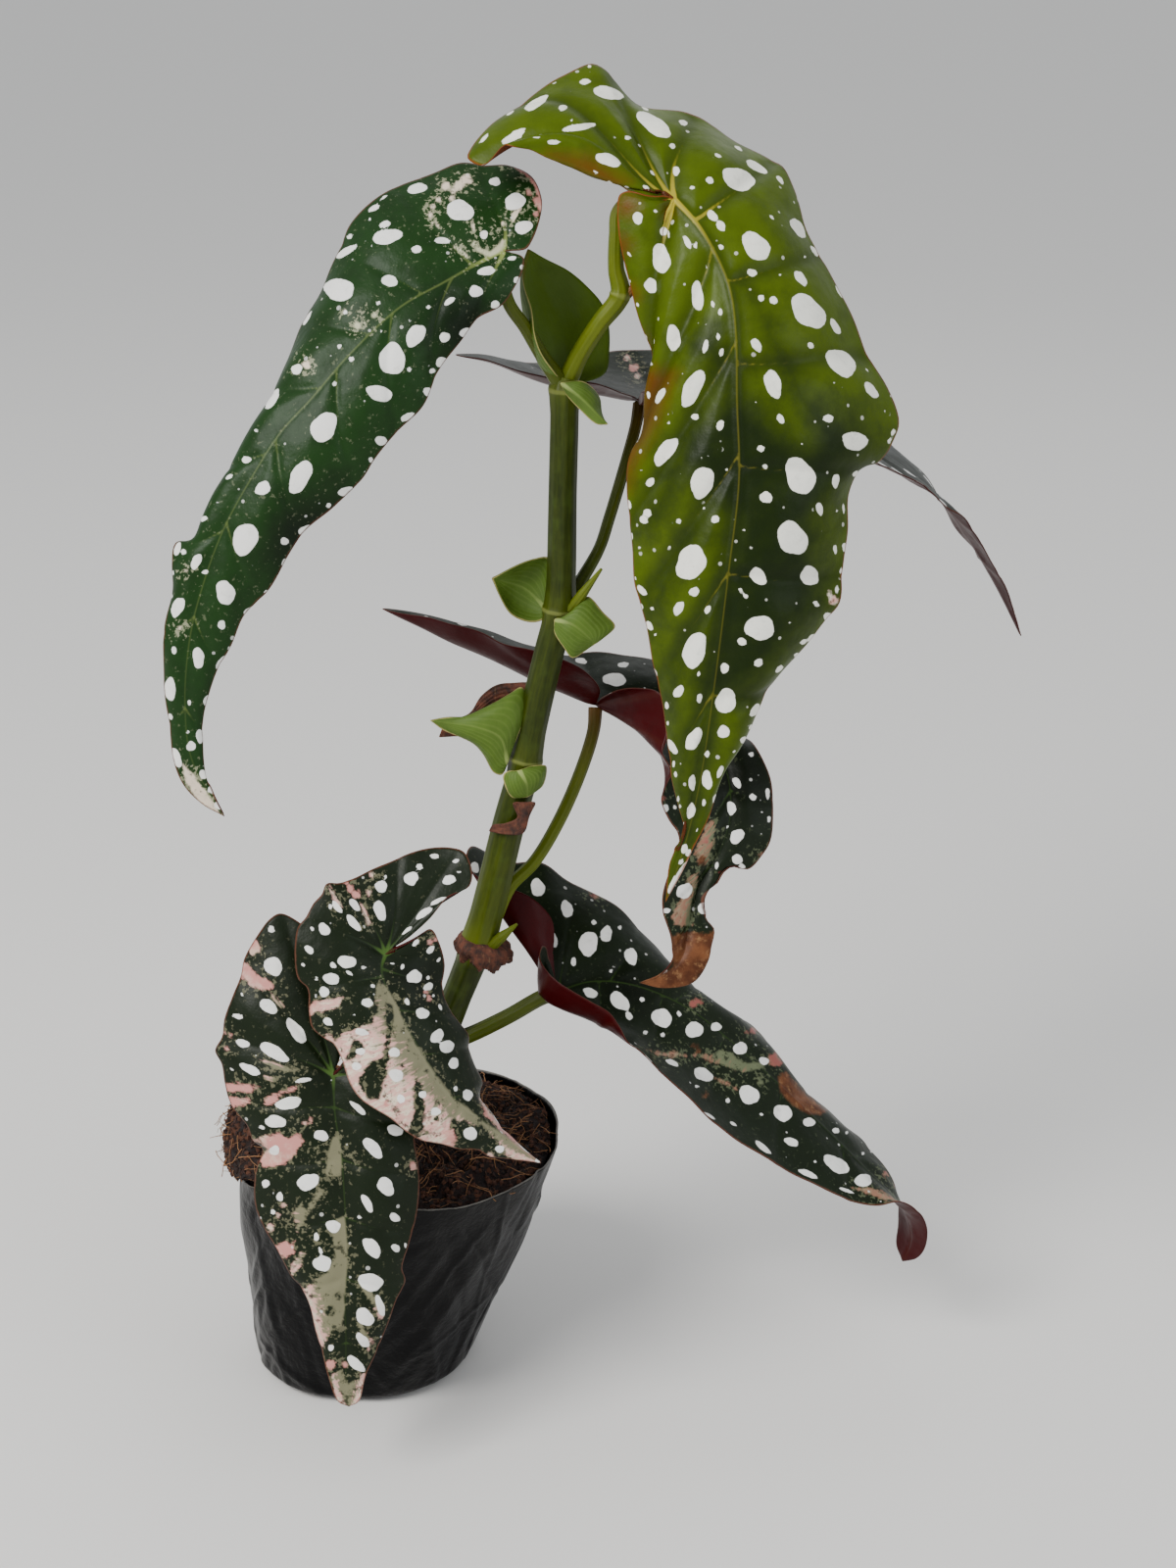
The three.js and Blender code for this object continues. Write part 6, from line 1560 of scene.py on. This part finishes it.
bag_wall = np.vstack([bag_ring(0), bag_ring(FILM_MM)[::-1]])
bag_points = np.vstack([bag_wall.reshape(-1, 3), [(0, 0, 0), (0, 0, FILM_MM)]]) / 1000
film, film_tree, film_shader = new_material("black_film")
film_place = here(film_tree)
# Painted highlight: the film is turned pale grey along the rim and round the bottom fold, where its gloss
# catches the light; noise breaks the band up.
film_edge_highlight = plus(value_of(film_tree, "painted_edge_highlight"), scaled(cloud(film_place, 300, 4.0), 0.8, -0.4))
film_tone = mixed(eased(film_edge_highlight, 0.4, 1.1), tint("#020203"), tint("#6a6762"))
film_bump = bumped(cloud(film_place, 120, 5.0, 0.6), 0.6, 0.0016)
fill(film_shader, {"Base Color": film_tone, "Normal": film_bump, "Roughness": 0.3,
                   "Specular IOR Level": 0.13})
bag = new_object("bag", bag_points.tolist(), tube_faces(len(bag_wall), BAG_SIDES), film)
bag_rows = np.concatenate([bag_levels[:, 0], bag_levels[::-1, 0]])
# Painted highlight: a thin band at the top of the rim and one that fades up from the bottom fold.
bag_edge_highlight = np.clip((bag_rows - 67.4) / 0.6, 0, 1) + 0.7 * np.exp(-bag_rows / 1.0)
set_values(bag.data, "painted_edge_highlight", np.concatenate([np.repeat(bag_edge_highlight, BAG_SIDES), [0, 0]]))
seat(bag, "grow_bag")


# ---------------------------------------------------------------- soil
# Coarse coir packed into the bag and heaped over its left rim: a lumpy body, with loose
# crumbs and straw-coloured fibres lying on it.
SOIL_LEVEL = 69.0
SOIL_MOUND = 9.0
SOIL_BULGE = 6.0
SOIL_SIDES = 260
SOIL_FLOOR = 1.35
SOIL_GAP = 1.7  # what the coir keeps from the outside of the wall
SOIL_WALL = (3.7, 13.0, 24.0, 35.0, 46.0, 56.0, 62.0)
BRIMS = [(-2.5, 0.8, 0, 0), (-1.5, 3.5, 0.8, SOIL_BULGE), (-0.5, 10, 3, SOIL_BULGE)]
BRIM_STEPS = 8
TOP_STEPS = 56
LITTER_FROM = 12  # the first ring of the body that crumbs and fibres lie on


def climb(value, low, high):
    """A share that rises smoothly from 0 to 1 between two values."""
    share = np.clip((value - low) / (high - low), 0, 1)
    return share * share * (3 - 2 * share)


def soil_height(x, y):
    """The top of the coir in millimetres."""
    lumps = 1.1 * np.sin(0.35 * x + 1) * np.cos(0.31 * y) + 0.8 * np.sin(0.6 * x - 0.5 * y)
    return SOIL_LEVEL + SOIL_MOUND * climb(-x, -10, 38) + lumps


def bag_place(height, angle, inset, lift):
    """A ring of places inside the bag's wall."""
    radius = bag_radius(height, angle) - inset
    x = BAG_SHIFT * height / BAG_HEIGHT + radius * np.cos(angle)
    return np.stack([x, radius * np.sin(angle), height + lift + 0 * angle], axis=1)


soil_turns = np.linspace(0, 2 * math.pi, SOIL_SIDES, endpoint=False)
soil_rings = [bag_place(SOIL_FLOOR, soil_turns, 6.9, 0.0)]
for soil_level in SOIL_WALL:
    soil_lift = rim_wave(soil_turns) * max(0, soil_level - RIM_FROM) / (BAG_HEIGHT - RIM_FROM)
    soil_rings.append(bag_place(soil_level, soil_turns, SOIL_GAP, soil_lift))
soil_left = np.maximum(0, -np.cos(soil_turns - 0.1)) ** 1.5
soil_over = climb(soil_left, 0.1, 0.5)
soil_out = climb(soil_left, 0.55, 1)
soil_brims = []
for low, high, inward, outward in BRIMS:
    push = -inward * (1 - soil_over) * (1 - soil_out) + outward * soil_out
    lift = rim_wave(soil_turns) + low + (high - low) * soil_over
    soil_brims.append(bag_place(BAG_HEIGHT, soil_turns, 2.3 - push, lift))
for first, second in zip(soil_brims, soil_brims[1:]):
    for share in np.linspace(0, 1, BRIM_STEPS, endpoint=False):
        soil_rings.append(first * (1 - share) + second * share)
soil_edge = soil_brims[-1]
for share in np.linspace(1, 0.02, TOP_STEPS):
    ring = np.stack([BAG_SHIFT + (soil_edge[:, 0] - BAG_SHIFT) * share, soil_edge[:, 1] * share], axis=1)
    level = soil_height(*ring.T)
    level = level + (soil_edge[:, 2] - level) * climb(share, 0.8, 1)
    soil_rings.append(np.column_stack([ring, level]))
soil_rings = np.stack(soil_rings)
soil_rough = 0.8 * ripple(soil_rings, 9.0, 111) + 0.5 * ripple(soil_rings, 4.0, 112)
soil_rough += 0.3 * ripple(soil_rings, 1.8, 113)
soil_rings[:, :, 2] += soil_rough * climb(np.arange(len(soil_rings)), 8, 16)[:, None]
soil_ends = [(0, 0, SOIL_FLOOR), (BAG_SHIFT, 0, soil_rings[-1, :, 2].mean())]
soil_points = np.vstack([soil_rings.reshape(-1, 3), soil_ends]) / 1000
coir, coir_tree, coir_shader = new_material("coir")
coir_place = here(coir_tree)
coir_lumps = cloud(coir_place, 260, 6.0, 0.65)
coir_grain = cloud(coir_place, 1500, 4.0, 0.6)
coir_tone = mixed(eased(coir_lumps, 0.35, 0.68), tint("#0a0302"), tint("#22100a"))
coir_tone = mixed(eased(coir_grain, 0.58, 0.75, 0, 0.6), coir_tone, tint("#4a2818"))
fill(coir_shader, {"Base Color": coir_tone, "Normal": bumped(coir_grain, 0.9, 0.0008), "Roughness": 0.95})
soil = new_object("soil_body", soil_points.tolist(), tube_faces(len(soil_rings), SOIL_SIDES), coir)
seat(soil, "soil")

crumb_skin, crumb_tree, crumb_shader = new_material("coir_crumbs")
crumb_tone = value_of(crumb_tree, "tone")
crumb_colour = mixed(eased(crumb_tone, 0.0, 0.6), tint("#0a0302"), tint("#26110a"))
crumb_colour = mixed(eased(crumb_tone, 0.6, 1.0), crumb_colour, tint("#4c2c1b"))
fill(crumb_shader, {"Base Color": crumb_colour, "Roughness": 0.95})
fibre_skin, fibre_tree, fibre_shader = new_material("coir_fibres")
fibre_colour = mixed(value_of(fibre_tree, "tone"), tint("#2f160c"), tint("#96683f"))
fill(fibre_shader, {"Base Color": fibre_colour, "Roughness": 0.7})


def litter(name, ground, material, shape, numbers):
    """Small pieces strewn over a surface by a seeded node tree, as one plain mesh."""
    tree = bpy.data.node_groups.new(name, "GeometryNodeTree")
    tree.interface.new_socket("Geometry", in_out="INPUT", socket_type="NodeSocketGeometry")
    for label, value in numbers.items():
        kind = "NodeSocketInt" if isinstance(value, int) else "NodeSocketFloat"
        tree.interface.new_socket(label, in_out="INPUT", socket_type=kind).default_value = value
    tree.interface.new_socket("Geometry", in_out="OUTPUT", socket_type="NodeSocketGeometry")
    entry = tree.nodes.new("NodeGroupInput").outputs
    points = node(tree, "GeometryNodeDistributePointsOnFaces", {
        "Mesh": entry["Geometry"], "Density": entry["Per square metre"], "Seed": entry["Seed"]})
    spin = node(tree, "FunctionNodeRandomValue", {
        0: (-0.5, -0.5, -math.pi), 1: (0.5, 0.5, math.pi), "Seed": entry["Seed"]}, data_type="FLOAT_VECTOR")
    turned = node(tree, "FunctionNodeRotateRotation", {
        "Rotation": points.outputs["Rotation"], "Rotate By": spin.outputs[0]}, rotation_space="LOCAL")
    size = node(tree, "FunctionNodeRandomValue", {
        2: entry["Smallest"], 3: entry["Largest"], "Seed": entry["Seed"]}, data_type="FLOAT")
    placed = node(tree, "GeometryNodeInstanceOnPoints", {
        "Points": points.outputs["Points"], "Instance": shape(tree), "Rotation": turned.outputs[0],
        "Scale": size.outputs[1]})
    tone = node(tree, "FunctionNodeRandomValue", {"Seed": entry["Seed"]}, data_type="FLOAT")
    toned = node(tree, "GeometryNodeStoreNamedAttribute", {
        "Geometry": placed.outputs["Instances"], "Name": "tone", "Value": tone.outputs[1]},
        data_type="FLOAT", domain="INSTANCE")
    whole = node(tree, "GeometryNodeRealizeInstances", {"Geometry": toned.outputs["Geometry"]})
    where = node(tree, "GeometryNodeInputPosition").outputs[0]
    noise = node(tree, "ShaderNodeTexNoise", {"Vector": where, "Scale": entry["Bend scale"]})
    middle = node(tree, "ShaderNodeVectorMath", {0: noise.outputs["Color"], 1: (0.5, 0.5, 0.5)},
                  operation="SUBTRACT")
    push = node(tree, "ShaderNodeVectorMath", {0: middle.outputs[0], "Scale": entry["Bend"]},
                operation="SCALE")
    bent = node(tree, "GeometryNodeSetPosition", {
        "Geometry": whole.outputs["Geometry"], "Offset": push.outputs[0]})
    done = node(tree, "GeometryNodeSetMaterial", {
        "Geometry": bent.outputs["Geometry"], "Material": material})
    tree.links.new(done.outputs["Geometry"], tree.nodes.new("NodeGroupOutput").inputs["Geometry"])
    carrier = new_object(name + "_ground", *ground, material)
    carrier.modifiers.new(name, "NODES").node_group = tree
    bpy.context.view_layer.update()
    grown = carrier.evaluated_get(bpy.context.evaluated_depsgraph_get())
    mesh = bpy.data.meshes.new_from_object(grown)
    bpy.data.objects.remove(carrier)
    strewn = bpy.data.objects.new(name, mesh)
    bpy.context.scene.collection.objects.link(strewn)
    seat(strewn, "soil")


def crumb_shape(tree):
    """A rough crumb."""
    return node(tree, "GeometryNodeMeshIcoSphere", {"Radius": 0.001, "Subdivisions": 1}).outputs["Mesh"]


def fibre_shape(tree):
    """A thin curved hair of husk."""
    line = node(tree, "GeometryNodeCurveQuadraticBezier", {
        "Resolution": 10, "Start": (-0.005, 0, 0.0002), "Middle": (0, 0.0018, 0.0011),
        "End": (0.005, 0, 0.0002)})
    ring = node(tree, "GeometryNodeCurvePrimitiveCircle", {"Resolution": 4, "Radius": 0.00011})
    hair = node(tree, "GeometryNodeCurveToMesh", {
        "Curve": line.outputs["Curve"], "Profile Curve": ring.outputs["Curve"], "Fill Caps": True})
    return hair.outputs["Mesh"]


ground_points = soil_rings[LITTER_FROM:].reshape(-1, 3) / 1000
ground = (ground_points.tolist(), ring_faces(len(soil_rings) - LITTER_FROM, SOIL_SIDES))
litter("coir_crumbs", ground, crumb_skin, crumb_shape, {
    "Per square metre": 640000.0, "Seed": 121, "Smallest": 0.2, "Largest": 0.85,
    "Bend scale": 1400.0, "Bend": 0.0022})
litter("coir_fibres", ground, fibre_skin, fibre_shape, {
    "Per square metre": 130000.0, "Seed": 122, "Smallest": 0.25, "Largest": 1.1,
    "Bend scale": 180.0, "Bend": 0.003})
